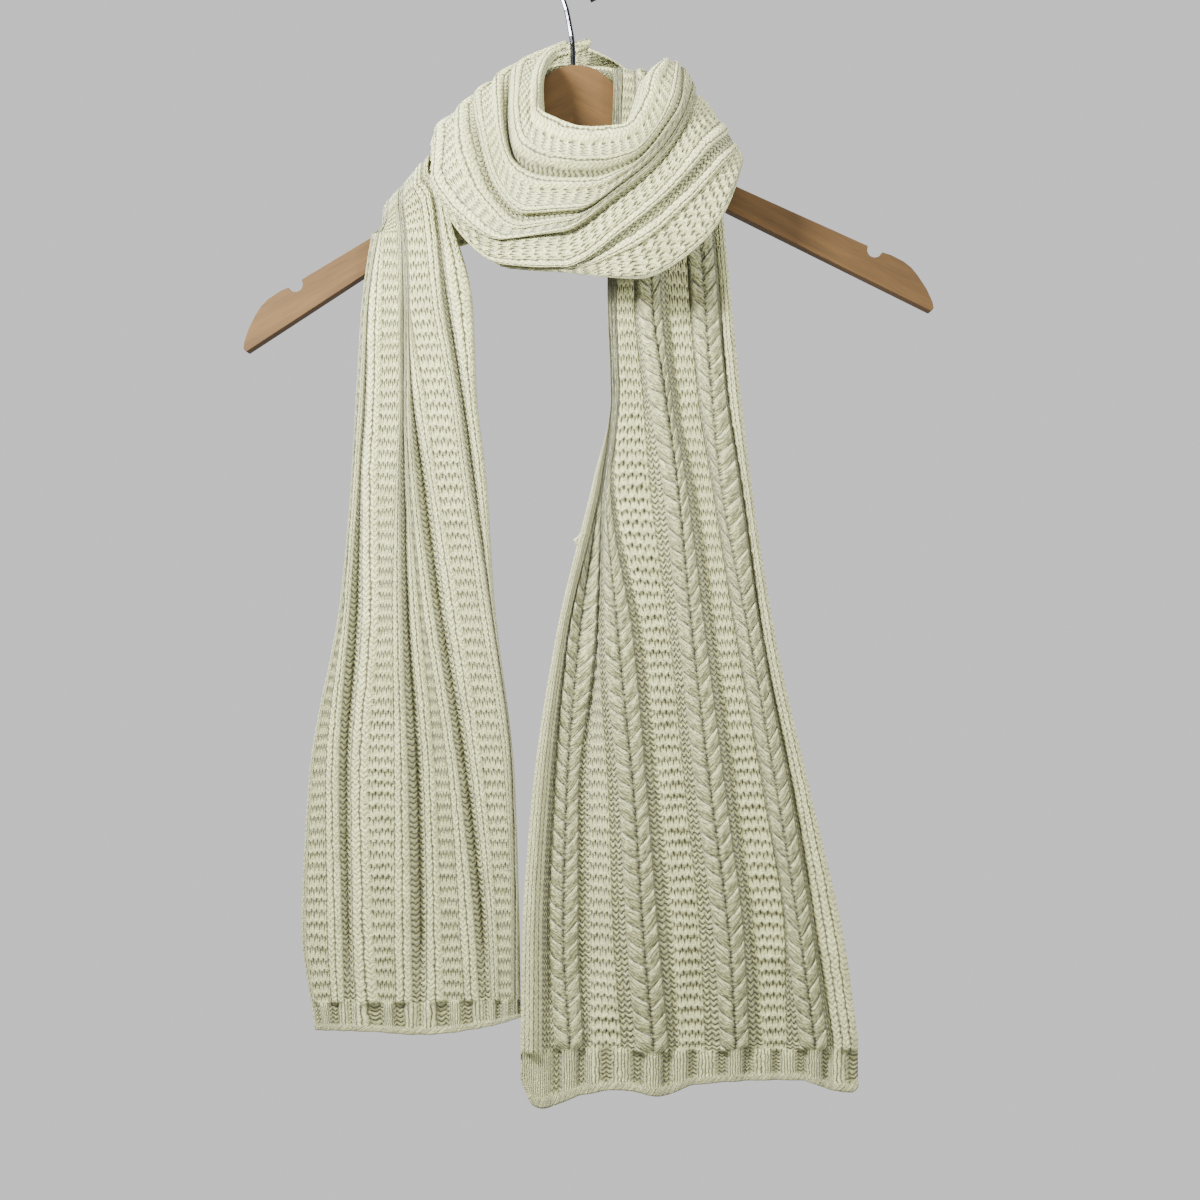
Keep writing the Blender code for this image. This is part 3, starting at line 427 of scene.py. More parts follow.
class Knit:
    """A closed knitted wall: a fine grid outside, a coarser one inside, and its four edges."""

    def __init__(self):
        self.points = []
        self.stitches = []
        self.looks = []
        self.weaves = []
        self.faces = []
        self.count = 0

    def grid(self, points, stitches, looks, weaves):
        """Add rows x columns of points, and return their numbers."""
        rows, columns = points.shape[:2]
        self.points.append(points.reshape(-1, 3))
        self.stitches.append(stitches.reshape(-1, 2))
        self.looks.append(looks.reshape(-1, 3))
        self.weaves.append(weaves.reshape(-1, 4))
        ids = np.arange(rows * columns).reshape(rows, columns) + self.count
        self.count += rows * columns
        a = ids[:-1, :-1].ravel()
        b = ids[1:, :-1].ravel()
        c = ids[1:, 1:].ravel()
        d = ids[:-1, 1:].ravel()
        self.faces.extend(np.column_stack([a, b, c, d]).tolist())
        return ids

    def strip(self, a, keys_a, b, keys_b):
        """Join two edges with triangles, by their keys."""
        i = 0
        j = 0
        while i < len(a) - 1 or j < len(b) - 1:
            if j == len(b) - 1 or (i < len(a) - 1 and keys_a[i + 1] <= keys_b[j + 1]):
                self.faces.append([int(a[i]), int(a[i + 1]), int(b[j])])
                i += 1
            else:
                self.faces.append([int(a[i]), int(b[j + 1]), int(b[j])])
                j += 1

    def close(self, outer, inner, row_keys, inner_row_keys, keys, inner_keys):
        """Join the four edges of the outer grid to those of the inner one."""
        for side in (0, -1):
            self.strip(outer[:, side], row_keys, inner[:, side], inner_row_keys)
            self.strip(outer[side], keys, inner[side], inner_keys)

    def build(self, name, material):
        """The mesh in metres, with its map of stitches and what the finish reads of each point."""
        points = np.concatenate(self.points) * MM
        points[:, 1] *= -1
        mesh = bpy.data.meshes.new(name)
        mesh.from_pydata(points.tolist(), [], self.faces)
        bm = bmesh.new()
        bm.from_mesh(mesh)
        bmesh.ops.recalc_face_normals(bm, faces=bm.faces)
        bm.to_mesh(mesh)
        bm.free()
        mesh.polygons.foreach_set("use_smooth", np.ones(len(mesh.polygons), bool))
        corners = np.empty(len(mesh.loops), int)
        mesh.loops.foreach_get("vertex_index", corners)
        stitches = np.concatenate(self.stitches)
        layer = mesh.uv_layers.new(name="stitches")
        layer.data.foreach_set("uv", stitches[corners].ravel())
        looks = mesh.attributes.new("look", "FLOAT_VECTOR", "POINT")
        looks.data.foreach_set("vector", np.concatenate(self.looks).ravel())
        weaves = mesh.attributes.new("weave", "FLOAT_COLOR", "POINT")
        weaves.data.foreach_set("color", np.concatenate(self.weaves).ravel())
        mesh.materials.append(material)
        return put(name, mesh)


def samples(panels):
    """Columns of a cloth: panel number, place in it, and place across the cloth."""
    columns = []
    for number, (kind, start, end) in enumerate(panels):
        steps = max(PANELS[kind].samples // COARSE, 2)
        for step in range(steps):
            f = step / steps
            columns.append((number, f, start + f * (end - start)))
    columns.append((len(panels) - 1, 1.0, panels[-1][2]))
    return columns


# ---------- hanging ends
class Tail:
    """The surface of a hanging end, from the top of the arm down to the hem."""

    def __init__(self, spec):
        self.spec = spec
        self.kinds = [kind for kind, _, _ in spec["lines"]][:-1]
        self.folds = np.array([fold for _, fold, _ in spec["lines"]], float)
        levels = np.array([xs for _, _, xs in spec["lines"]], float).T
        left, right = spec["crown_span"]
        share = (levels[0] - levels[0][0]) / (levels[0][-1] - levels[0][0])
        self.crown = left + share * (right - left)
        depths = [-level for level in (spec["crown_z"],) + spec["levels"]]
        self.curve = Curve(depths, np.vstack([self.crown, levels]))
        self.radius = (spec["front"] - spec["back"]) / 2
        self.middle = (spec["front"] + spec["back"]) / 2
        hem_x, hem_z = zip(*spec["hem"])
        self.hem = Curve(hem_x, np.array(hem_z)[:, None])
        panels = [(kind, n, n + 1) for n, kind in enumerate(self.kinds)]
        self.columns = samples(panels)
        starts = np.cumsum([0] + [PANELS[kind].stitches for kind in self.kinds])
        self.stitch = [starts[n] + f * PANELS[self.kinds[n]].stitches for n, f, _ in self.columns]
        self.stitch[0] += EDGE_LEG
        self.stitch[-1] -= EDGE_LEG
        shares = [PANELS[kind].welt_ribs for kind in self.kinds]
        shares[0] = spec["first_rib"]
        ribs = np.cumsum([spec["rib_start"]] + shares)
        self.ribs = [ribs[n] + f * shares[n] for n, f, _ in self.columns]
        self.rib_steps = shares
        hems = [level for _, level in spec["hem"]]
        height = spec["welt_top"] - sum(hems) / len(hems)
        self.last_row = 2 * round((-spec["welt_top"] / ROW + height / WELT_ROW) / 2)

    def lines_at(self, z):
        """x of every line between panels at each height, kept in order."""
        xs = self.curve.at(-np.asarray(z, float))
        for i in range(1, xs.shape[1]):
            xs[:, i] = np.maximum(xs[:, i], xs[:, i - 1] + LEAST_GAP)
        return xs

    def flatten(self, z):
        """The folds lose more than half their depth just above the welt."""
        top = self.spec["welt_top"]
        return 0.4 + 0.6 * ramp(top, top + FLATTEN_OVER, z)

    def fold_at(self, i, xs, z):
        """How far line i stands out, less where its panels are squeezed."""
        left = xs[:, i] - xs[:, i - 1] if i > 0 else np.full(len(xs), 10.0)
        right = xs[:, i + 1] - xs[:, i] if i < xs.shape[1] - 1 else np.full(len(xs), 10.0)
        room = np.minimum(np.minimum((left + right) / 10, np.minimum(left, right) / 3), 1.0)
        high, low = self.spec["fold_from"]
        return self.folds[i] * room * (0.2 + 0.8 * ramp(-high, -low, -z)) * self.flatten(z)

    def section(self, column, z, down, plain=False):
        """x, lift, twist and painted shade of one column at each height."""
        number, f, _ = self.columns[column]
        kind = self.kinds[number]
        xs = self.lines_at(z)
        width = xs[:, number + 1] - xs[:, number]
        x = xs[:, number] + f * width
        ease = f * f * (3 - 2 * f)
        lift = ((1 - ease) * self.fold_at(number, xs, z)
                + ease * self.fold_at(number + 1, xs, z))
        room = np.minimum(1.0, width / PANELS[kind].width)
        high, low = self.spec["fold_from"]
        fade = 0.5 + 0.5 * ramp(-high, -low, -z)
        if kind == "recess":
            fade = fade * self.flatten(z)
        bulge = math.sin(math.pi * f)
        if not plain or kind == "recess":
            power = RIB_ROUND if kind == "rib" else 1.0
            lift = lift + PANELS[kind].lift * room * fade * bulge ** power
        # a plain side gets an even painted shade; on the outer side the painted shade deepens
        # where a panel is squeezed into a fold
        if plain:
            return x, lift, np.zeros_like(z), np.zeros_like(z) + 0.3
        high, twist, painted_shade = panel_relief(kind, f, down, room, self.left_strand(number))
        return x, lift + high, twist, painted_shade + 0.3 * (1 - room)

    def rows(self):
        """Keys of the rows down to the welt, finer where they show."""
        spec = self.spec
        last = 2 + (spec["flat_from"] - spec["welt_top"]) / UNIT
        fine = 2 + (spec["flat_from"] - spec["fine_from"]) / UNIT
        arc = np.linspace(0.5, 1.0, 9)
        drop = np.linspace(1.0, 2.0, 19)[1:-1]
        hidden = np.arange(2, fine, 3 * ROW_STEP / UNIT)
        shown = np.linspace(fine, last, int((last - fine) * UNIT / (ROW_STEP * COARSE)) + 1)
        return np.concatenate([arc, drop, hidden, shown])

    def place(self, column, keys, inward=0.0, warp=0.0):
        """x, depth, z, way down the cloth, twist and painted shade of one column.

        Keys from 0.5 to 1 go round the arm, those to 2 fall from its top to the spec's
        `flat_from`, and above that they count in steps of UNIT.
        """
        spec = self.spec
        plain = inward > 0
        z = np.where(keys >= 2, spec["flat_from"] - (keys - 2) * UNIT, 0)
        drop = spec["flat_from"] - spec["crown_z"]
        level = spec["crown_z"] + np.clip(keys - 1, 0, None) * drop
        heights = np.where(keys >= 2, z, level)
        round_arm = self.radius * math.pi * (1 - keys)
        down = np.where(keys >= 1, -heights, -spec["crown_z"] - round_arm)
        x, lift, twist, painted_shade = self.section(column, heights, down + warp, plain)
        over = np.clip(1 - keys, 0, None)
        away = x - spec["crown_x"]
        crown = spec["crown_z"] + spec["crown_slope"] * away - spec["crown_bow"] * away ** 2
        start = crown - self.radius
        angle = math.pi * over
        reach = self.radius + lift - inward
        depth = np.where(keys >= 1, spec["front"] + lift - inward,
                         self.middle + reach * np.cos(angle))
        hanging = start + (keys - 1) * (spec["flat_from"] - start)
        z = np.where(keys >= 2, z, np.where(keys >= 1, hanging, start + reach * np.sin(angle)))
        return x, depth, z, down, twist, painted_shade

    def welt(self, column, shares, warp, inward=0.0):
        """The ribbed band at the hem, from its uneven top down to the bound-off edge."""
        spec = self.spec
        number, f, _ = self.columns[column]
        top = float(spec["welt_top"])
        x_top = self.section(column, np.array([top]), np.array([-top]), plain=True)[0]
        hem = self.hem.at(x_top)[0, 0]
        z = top + shares * (hem - top)
        x, lift, twist, painted_shade = self.section(column, z, warp - z, plain=inward > 0)
        base = self.section(column, z, -z, plain=True)[1] * (1 - 0.5 * shares)
        lines = self.lines_at(np.array([top]))[0]
        period = (lines[number + 1] - lines[number]) / self.rib_steps[number]
        room = min(1.0, 1.3 * period / WELT_PERIOD)
        place = self.ribs[column]
        crest = math.sqrt(max(1 - ((place - round(place)) / RIB_HALF) ** 2, 0))
        start = 0.08 * (1 + unevenness(place * 1.3, 5.0, spec["seed"]))
        gathered = ramp(start, start + 0.16, shares)
        bound = ramp(*BOUND_FROM, shares)
        high = room * (WELT_HIGH * crest - WELT_DEEP * (1 - crest))
        high = high * (1 - 0.6 * bound) + BOUND_HIGH * bound
        if inward > 0:
            high = 0.0
        depth = spec["front"] - inward + (1 - gathered) * lift + gathered * (base + high)
        first = (warp - top) / ROW
        along = first + shares * (self.last_row + 0.55 - first)
        rib = min(1.6 * crest, 1)
        looks = np.zeros((len(shares), 3))
        weaves = self.weave(number, f, twist)
        kind = self.kinds[number]
        looks[:, 0] = ((1 - gathered) * PANELS[kind].knit
                       + gathered * (rib * (1 - bound) + bound))
        looks[:, 1] = (1 - gathered) * self.in_strand(number, f) + bound
        # painted shade fills the gaps between the welt's ribs
        looks[:, 2] = ((1 - gathered) * painted_shade
                       + gathered * (1 - bound) * (0.05 + 0.62 * (1 - crest) * room))
        weaves[:, 0] *= 1 - gathered
        beads = shares > BEADS_FROM
        lean = BEAD_LEAN * (shares[beads] - BEADS_FROM) / (1 - BEADS_FROM)
        weaves[beads, 1] = BEAD_YARN
        weaves[beads, 2] = self.stitch[column] + lean
        weaves[:, 3] = gathered * (1 - bound) * rib
        return x, depth, z, along, np.clip(looks, 0, 1), weaves

    def weave(self, number, f, twist):
        """Garter weight, place across the strand, leaf phase and cord weight of a column."""
        kind = self.kinds[number]
        weave = np.zeros((len(twist), 4))
        weave[:, 0] = kind == "garter"
        if kind == "strand":
            weave[:, 1] = f if self.left_strand(number) else 1 - f
            weave[:, 2] = twist
        return weave

    def left_strand(self, number):
        """Whether the next panel is a strand too."""
        return number + 1 < len(self.kinds) and self.kinds[number + 1] == "strand"

    def in_strand(self, number, f):
        """1 inside a strand and on the line between two, else 0."""
        kind = self.kinds[number]
        paired = number > 0 and self.kinds[number - 1] == "strand"
        return 1.0 if kind == "strand" and (f > 0 or paired) else 0.0


def knit_tail(name, spec, material):
    """A hanging end, its outer side in full and its inner side plainer."""
    tail = Tail(spec)
    knit = Knit()
    keys = tail.rows()
    shares = np.linspace(0, 1, 26 // COARSE)[1:]
    seed = spec["seed"]
    number = len(tail.columns)
    rows = len(keys) + len(shares)
    points, stitches, looks, weaves = blank(rows, number)
    body = slice(0, len(keys))
    band = slice(len(keys), rows)
    for column, (panel, f, _) in enumerate(tail.columns):
        kind = tail.kinds[panel]
        along = tail.place(column, keys)[3]
        warp = stray(tail.stitch[column], along, seed)
        x, depth, z, down, twist, painted_shade = tail.place(column, keys, warp=warp)
        bumpy = END_SWELLING * swelling(tail.stitch[column], along, seed)
        points[body, column] = np.column_stack([x, depth + bumpy, z])
        stitches[body, column, 0] = tail.stitch[column]
        stitches[body, column, 1] = (down + warp) / ROW
        if panel == 0 and spec is RIGHT_TAIL:
            snag = np.exp(-((z - SNAG_AT) / SNAG_HALF) ** 2)
            points[body, column, 0] -= SNAG_OUT * (1 - f) ** 3 * snag
        looks[body, column, 0] = PANELS[kind].knit
        looks[body, column, 1] = tail.in_strand(panel, f)
        # the look's third share is painted shade, which the finish turns into a darker, greener
        # colour
        looks[body, column, 2] = np.clip(painted_shade, 0, 1)
        weaves[body, column] = tail.weave(panel, f, twist)
        x, depth, z, down, look, weave = tail.welt(column, shares, warp[-1])
        points[band, column] = np.column_stack([x, depth + (1 - shares) * bumpy[-1], z])
        stitches[band, column, 0] = tail.stitch[column]
        stitches[band, column, 1] = down
        looks[band, column] = look
        weaves[band, column] = weave
    outer = knit.grid(points, stitches, looks, weaves)

    picks = every(2, number)
    inner_keys = keys[every(3, len(keys))]
    inner_shares = np.append(shares[2::5], 1.0)
    top = len(inner_keys)
    points, stitches, looks, weaves = blank(top + len(inner_shares), len(picks))
    for n, column in enumerate(picks):
        panel, f, _ = tail.columns[column]
        kind = tail.kinds[panel]
        x, depth, z, down, _, _ = tail.place(column, inner_keys, inward=WALL)
        proud = PANELS[kind].inner_lift * math.sin(math.pi * f) ** 0.6
        points[:top, n] = np.column_stack([x, depth - proud, z])
        stitches[:top, n, 0] = tail.stitch[column]
        stitches[:top, n, 1] = down / ROW
        looks[:, n, 0] = 1.0 if kind == "purl" else 0.0
        # the inner side gets a little painted shade, more behind the strands
        looks[:, n, 2] = 0.05 if kind != "strand" else 0.3
        x, depth, z, down, _, _ = tail.welt(column, inner_shares, 0.0, inward=WALL)
        points[top:, n] = np.column_stack([x, depth, z])
        stitches[top:, n, 0] = tail.stitch[column]
        stitches[top:, n, 1] = down
    inner = knit.grid(points, stitches, looks, weaves)
    row_keys = list(keys) + list(keys[-1] + shares)
    inner_row_keys = list(inner_keys) + list(keys[-1] + inner_shares)
    knit.close(outer, inner, row_keys, inner_row_keys, list(range(number)), picks)
    return knit.build(name, material)


# ---------- turns round the neck
def smoothed(stations, picked, at):
    """A column or columns of the table of stations, at each place round."""
    return Curve(range(len(stations)), [row[picked] for row in stations]).at(at)


def wrap_surface(at):
    """Line points, how far each stands out, and the point inside, at each place round."""
    rim, crease, edge, share, creased, turn_in = smoothed(WRAP_STATIONS, slice(6), at).T
    core = smoothed(WRAP_STATIONS, 6, at)
    flat = smoothed(WRAP_STATIONS, 7, at)
    steps = len(WRAP_LINES)
    depths = np.zeros((len(at), steps))
    for n in range(steps):
        if n < CREASE:
            depths[:, n] = rim + (crease - rim) * n / CREASE
        else:
            depths[:, n] = crease + (edge - crease) * (n - CREASE) / (steps - 1 - CREASE)
    depths[:, 0] -= share * RIM_BACK
    points = np.stack([flat[:, :, 0], depths, flat[:, :, 1]], axis=2)
    out = share[:, None] * np.array(WRAP_OUT, float)
    out[:, CREASE] = creased * CREASE_OUT
    towards = unit(points[:, 0] * np.array([-1.0, -1.0, 0.0]))
    lip = points[:, 0] + turn_in[:, None] * towards
    lip[:, 2] -= LIP_DROP * turn_in
    points = np.concatenate([lip[:, None], points], axis=1)
    out = np.concatenate([np.zeros((len(at), 1)), out], axis=1)
    return points, out, core


def pass_surface(stations, roll_high):
    """The same for a pass behind the neck."""
    def surface(at):
        lower = smoothed(stations, 0, at)
        rim = smoothed(stations, 1, at)
        bulge, share = smoothed(stations, slice(2, 4), at).T
        core = smoothed(stations, 4, at)
        points = np.zeros((len(at), len(ROLLS), 3))
        for n in range(len(ROLLS)):
            v = n / (len(ROLLS) - 1)
            point = lower + v * (rim - lower)
            way = unit(point - core)
            points[:, n] = point + way * (bulge * math.sin(math.pi * v))[:, None]
        out = share[:, None] * roll_high * np.array(ROLLS, float)
        return points, out, core
    return surface


def between(points, u):
    """Smooth points across the lines; u counts lines."""
    last = points.shape[1] - 1
    i = min(int(u), last - 1)
    f = u - i
    p1 = points[:, i]
    p2 = points[:, i + 1]
    pull_1 = (p2 - points[:, max(i - 1, 0)]) / 2
    pull_2 = (points[:, min(i + 2, last)] - p1) / 2
    return bend(f, p1, pull_1, p2, pull_2)


def roll(out, u):
    """Height of round rolls with sharp valleys, from the heights at the lines."""
    i = min(int(u), out.shape[1] - 2)
    f = u - i
    low = np.minimum(out[:, i], out[:, i + 1])
    high = np.maximum(out[:, i], out[:, i + 1])
    f = np.where(out[:, i] < out[:, i + 1], 1 - f, f)
    return low + (high - low) * np.sqrt(np.clip(1 - f * f, 0, 1))


def knit_band(name, surface, stations, panel_ends, middle, seed, rib_high, material):
    """A stretch of the scarf round the neck; its rows are evenly spaced along line `middle`."""
    probe = np.linspace(0, stations - 1, 400)
    path = between(surface(probe)[0], middle)
    length = length_along(path)
    rows = int(length[-1] / (TURN_STEP * COARSE))
    at = np.interp(np.linspace(0, length[-1], rows), length, probe)
    points, out, core = surface(at)
    begins = [0.0] + [end for _, end in panel_ends]
    panels = [(kind, begin, end) for begin, (kind, end) in zip(begins, panel_ends)]
    columns = samples(panels)
    starts = np.cumsum([0] + [PANELS[kind].stitches for kind, _, _ in panels])
    centre = rows // 2
    middle_run = np.linspace(0, length[-1], rows) - length[-1] / 2
    deepest = max(np.abs(out).max(), 1.0)

    number = len(columns)
    outside, stitches, looks, weaves = blank(rows, number)
    inside = np.zeros_like(outside)
    for column, (panel, f, u) in enumerate(columns):
        kind, begin, end = panels[panel]
        base = between(points, u)
        way = unit(base - core)
        width = np.linalg.norm(between(points, end) - between(points, begin), axis=1)
        room = np.minimum(1.0, width / PANELS[kind].width)
        run = length_along(base)
        run = OWN_RUN * (run - run[centre]) + (1 - OWN_RUN) * middle_run
        stitch = starts[panel] + f * PANELS[kind].stitches
        down = run + stray(stitch, run, seed)
        high, _, painted_shade = panel_relief(kind, f, down, room)
        raised = rib_high * room * math.sin(math.pi * f) ** RIB_ROUND if kind == "rib" else 0
        relief = roll(out, u)
        bumpy = TURN_SWELLING * swelling(stitch, run, seed)
        edge_fade = min(1.0, column / 3, (number - 1 - column) / 3)
        height = relief + (high + raised + bumpy) * edge_fade
        outside[:, column] = base + way * height[:, None]
        inside[:, column] = base + way * (relief - WALL)[:, None]
        stitches[:, column, 0] = stitch
        stitches[:, column, 1] = down / ROW
        looks[:, column, 0] = 0.9 * PANELS[kind].knit
        weaves[:, column, 0] = 0.9 if kind in ("garter", "window") else 0.0
        # painted shade: the valleys between the rolls and the stitches' own hollows are darkened
        # in colour
        sunk = np.clip(-relief / deepest, 0, 1)
        looks[:, column, 2] = np.clip(0.8 * painted_shade * room + 0.95 * sunk ** 1.2, 0, 1)
    stitches[:, 0, 0] += EDGE_LEG
    stitches[:, -1, 0] -= EDGE_LEG
    knit = Knit()
    outer = knit.grid(outside, stitches, looks, weaves)
    picks = every(2, number)
    lines = every(2, rows)
    chosen = np.ix_(lines, picks)
    # the inner side is evenly darkened with painted shade
    inner_looks = looks[chosen] * np.array([0.0, 1.0, 0.0]) + np.array([0.0, 0.0, 0.35])
    inner = knit.grid(inside[chosen], stitches[chosen], inner_looks, weaves[chosen])
    knit.close(outer, inner, list(range(rows)), lines, list(range(number)), picks)
    return knit.build(name, material)


# ---------- finishes
# The setting that a node's kind names after its stop, as in "MapRange.SMOOTHSTEP".
MODES = {"Math": "operation", "VectorMath": "operation", "MapRange": "interpolation_type",
         "Mix": "data_type", "TexWhiteNoise": "noise_dimensions"}


def linear(code):
    """sRGB hex code to linear RGBA."""
    values = []
    for place in (1, 3, 5):
        share = int(code[place:place + 2], 16) / 255
        values.append(share / 12.92 if share <= 0.04045 else ((share + 0.055) / 1.055) ** 2.4)
    return (*values, 1.0)


def to_cover(size):
    """The scale of a pattern whose patches are this many millimetres across."""
    return 1 / (size * MM)


def fill(tree, socket, value):
    """Set an input to a value or hex colour, or link it to a socket or a node's first output."""
    if isinstance(value, bpy.types.Node):
        value = next(output for output in value.outputs if output.enabled)
    if isinstance(value, bpy.types.NodeSocket):
        tree.links.new(value, socket)
    else:
        socket.default_value = linear(value) if isinstance(value, str) else value


def add(tree, kind, *inputs, **settings):
    """Add a node with its settings; its inputs come in order, or by name with the settings.

    A kind all in capitals is the operation of a Math node.
    """
    kind, _, mode = ("Math." + kind if kind.isupper() else kind).partition(".")
    node = tree.nodes.new("ShaderNode" + kind)
    if mode:
        setattr(node, MODES[kind], mode)
    for name, value in settings.items():
        if name in node.inputs:
            fill(tree, node.inputs[name], value)
        else:
            setattr(node, name, value)
    in_use = [socket for socket in node.inputs if socket.enabled]
    for socket, value in zip(in_use, inputs):
        fill(tree, socket, value)
    return node


def new_finish(name):
    """A material, and a short way to add a node to it."""
    finish = bpy.data.materials.new(name)
    finish.use_nodes = True
    return finish, partial(add, finish.node_tree)


def coat(finish, surface):
    """Set or link the inputs of the finish's own shader, and return the finish."""
    shader = finish.node_tree.nodes["Principled BSDF"]
    for name, value in surface.items():
        fill(finish.node_tree, shader.inputs[name], value)
    return finish


def undyed_wool(name, light, shadow):
    """Undyed wool, spun into a thick loose yarn and knitted by hand.

    It is matt, with a soft bloom of hairs and full stitches; the dark gap beside each of them and
    the shade in its folds are painted into its colour.
    """
    finish, node = new_finish(name)

    def arch(value, power=1.0):
        """0 at whole numbers and 1 half way between them."""
        half_turn = node("MULTIPLY", node("FRACT", value), math.pi)
        bow = node("SINE", half_turn)
        return bow if power == 1.0 else node("POWER", bow, power)

    # the grid of stitches, each tugged out of line
    grid = node("SeparateXYZ", node("UVMap", uv_map="stitches"))
    place = node("TexCoord").outputs["Object"]
    pull = node("TexNoise", place, Scale=to_cover(TUG_PATCH), Detail=1.0)
    tug = node("SeparateXYZ", pull.outputs["Color"])
    across = node("MULTIPLY_ADD", node("SUBTRACT", tug.outputs[0], 0.5), 0.45, grid.outputs[0])
    along = node("MULTIPLY_ADD", node("SUBTRACT", tug.outputs[1], 0.5), 0.55, grid.outputs[1])
    twice_across = node("MULTIPLY", across, 2.0)
    look = node("Attribute", attribute_name="look").outputs["Vector"]
    # depth, the look's third share, is how much painted shade a point gets
    knit_share, strand_share, depth = node("SeparateXYZ", look).outputs
    weave = node("Attribute", attribute_name="weave")
    garter_share, strand_place, leaf_count = node("SeparateXYZ", weave.outputs["Vector"]).outputs
    welt_share = weave.outputs["Alpha"]

    # knit columns: two slanting legs to a stitch, and a dip a row between the columns, which the
    # painted gap shade turns into a dark dot
    edge = node("ABSOLUTE", node("MULTIPLY_ADD", node("FRACT", across), 2.0, -1.0))
    slope = node("SINE", node("MULTIPLY_ADD", edge, 0.80 * math.pi, 0.2 * math.pi))
    leg = node("MULTIPLY_ADD", slope, 0.48, 0.52)
    swell = arch(node("MULTIPLY_ADD", edge, 0.9, along), 0.5)
    smooth = node("MULTIPLY", leg, node("MULTIPLY_ADD", swell, 0.55, 0.45))
    dots = node("MULTIPLY", node("POWER", edge, 6.0),
                node("MULTIPLY_ADD", arch(along, 2.0), 0.85, 0.15))
    knit = node("MULTIPLY_ADD", dots, -0.6, smooth)
    # the welt's ribs: the legs lie side by side as cords
    cord = arch(twice_across, 0.6)
    # purl side: a zigzag of arched bumps a row, with a hollow under each that the painted gap
    # shade darkens
    wave = node("COSINE", node("MULTIPLY", across, 2 * math.pi))
    arches = arch(node("ADD", along, node("MULTIPLY", wave, 0.25)), 0.8)
    bumps = node("MULTIPLY", arches, node("MULTIPLY_ADD", arch(across), 0.45, 0.55))
    purl = node("MULTIPLY_ADD", bumps, 0.88, 0.10)
    # garter: a zigzag ridge every second row, over the standing legs of the row above it
    second_row = node("MULTIPLY_ADD", along, 0.5, -0.145)
    turn = node("FRACT", node("MULTIPLY_ADD", edge, 0.29, second_row))
    half_on = node("FRACT", node("ADD", turn, 0.5))
    near = node("ABSOLUTE", node("SUBTRACT", half_on, 0.5))
    ridge = node("SUBTRACT", 1.0, node("MapRange.SMOOTHSTEP", near, 0.08, 0.22))
    hollow = node("MULTIPLY_ADD", node("MapRange.SMOOTHSTEP", turn, 0.36, 0.68), -0.74, 1.0)
    beside = node("SUBTRACT", 1.0, arch(twice_across, 0.9))
    legs = node("SUBTRACT", 1.0, node("MULTIPLY", hollow, beside))
    garter = node("MAXIMUM", ridge, node("MULTIPLY", legs, 0.78))
    # cable strands: each leaf is highest at its starting yarn and sinks under the next, so the
    # painted gap shade leaves its start bright, and streaks run along the yarns
    leaf = node("FRACT", leaf_count)
    yarns = arch(node("MULTIPLY", leaf, 3.0), 0.6)
    fade = node("MULTIPLY_ADD", leaf, -0.30, 1.0)
    lay = node("CombineXYZ", node("MULTIPLY", strand_place, 2.5),
               node("MULTIPLY", leaf_count, 8.0))
    strands = node("TexNoise", lay, Scale=1.0, Detail=2.0)
    split = node("MapRange.SMOOTHSTEP", strands, 0.42, 0.57)
    streaks = node("MULTIPLY_ADD", node("MULTIPLY_ADD", yarns, 0.4, split), 0.62, 0.42)
    strand = node("MULTIPLY", node("MapRange.SMOOTHSTEP", leaf, 0.0, 0.12),
                  node("MULTIPLY", fade, streaks))
    # painted shade: a jagged dark line between the two strands, and a fainter one along their
    # outsides
    sway = node("SINE", node("MULTIPLY", along, 2 * math.pi))
    jag = node("MULTIPLY_ADD", sway, 0.07, strand_place)
    middle = node("MULTIPLY", node("MapRange.SMOOTHSTEP", jag, 0.83, 0.96),
                  node("MULTIPLY_ADD", arch(along, 2.0), 0.75, 0.35))
    outside = node("MapRange.SMOOTHSTEP", node("SUBTRACT", 1.0, jag), 0.86, 1.0)
    rim = node("MULTIPLY", outside, arch(along, 3.0))
    painted_strand_shade = node("MAXIMUM", middle, node("MULTIPLY", rim, 0.6))

    corded = node("Mix", welt_share, knit, cord)
    stitched = node("Mix", knit_share, purl, corded)
    ridged = node("Mix", garter_share, stitched, garter)
    height = node("Mix", strand_share, ridged, strand)
    # single hairs roughen every stitch
    fibre = node("TexNoise", place, Scale=to_cover(HAIR_PATCH), Detail=3.0, Roughness=0.7)
    fuzzy = node("MULTIPLY_ADD", fibre, 0.8, height)
    bump = node("Bump", Height=fuzzy, Strength=1.0, Distance=0.0028)

    # painted shade: the gaps between stitches and the folds of the cloth are coloured darker and
    # greener
    gap = node("SUBTRACT", 1.0, node("MapRange.SMOOTHSTEP", height, 0.18, 0.92))
    lines = node("MAXIMUM", node("MULTIPLY", gap, 0.97),
                 node("MULTIPLY", painted_strand_shade, strand_share))
    tone = node("Mix.RGBA", depth, light, shadow)
    deep = node("Mix.RGBA", lines, tone, DARK_GAP)
    # slow clouds and a chance tone for each stitch vary the wool's own colour, and the dark
    # between the hairs is painted shade
    clouds = node("TexNoise", place, Scale=to_cover(CLOUD_PATCH), Detail=2.0)
    cloud = node("MapRange", clouds, 0.3, 0.7, 0.0, 0.12)
    stitch = node("CombineXYZ", node("FLOOR", across), node("FLOOR", along))
    chance = node("MULTIPLY_ADD", node("TexWhiteNoise.2D", stitch), 0.16, cloud)
    hairs = node("MapRange.SMOOTHSTEP", fibre, 0.42, 0.62)
    mottled_with_hair_shade = node("Mix.RGBA", node("MULTIPLY_ADD", hairs, 0.34, chance), deep, shadow)
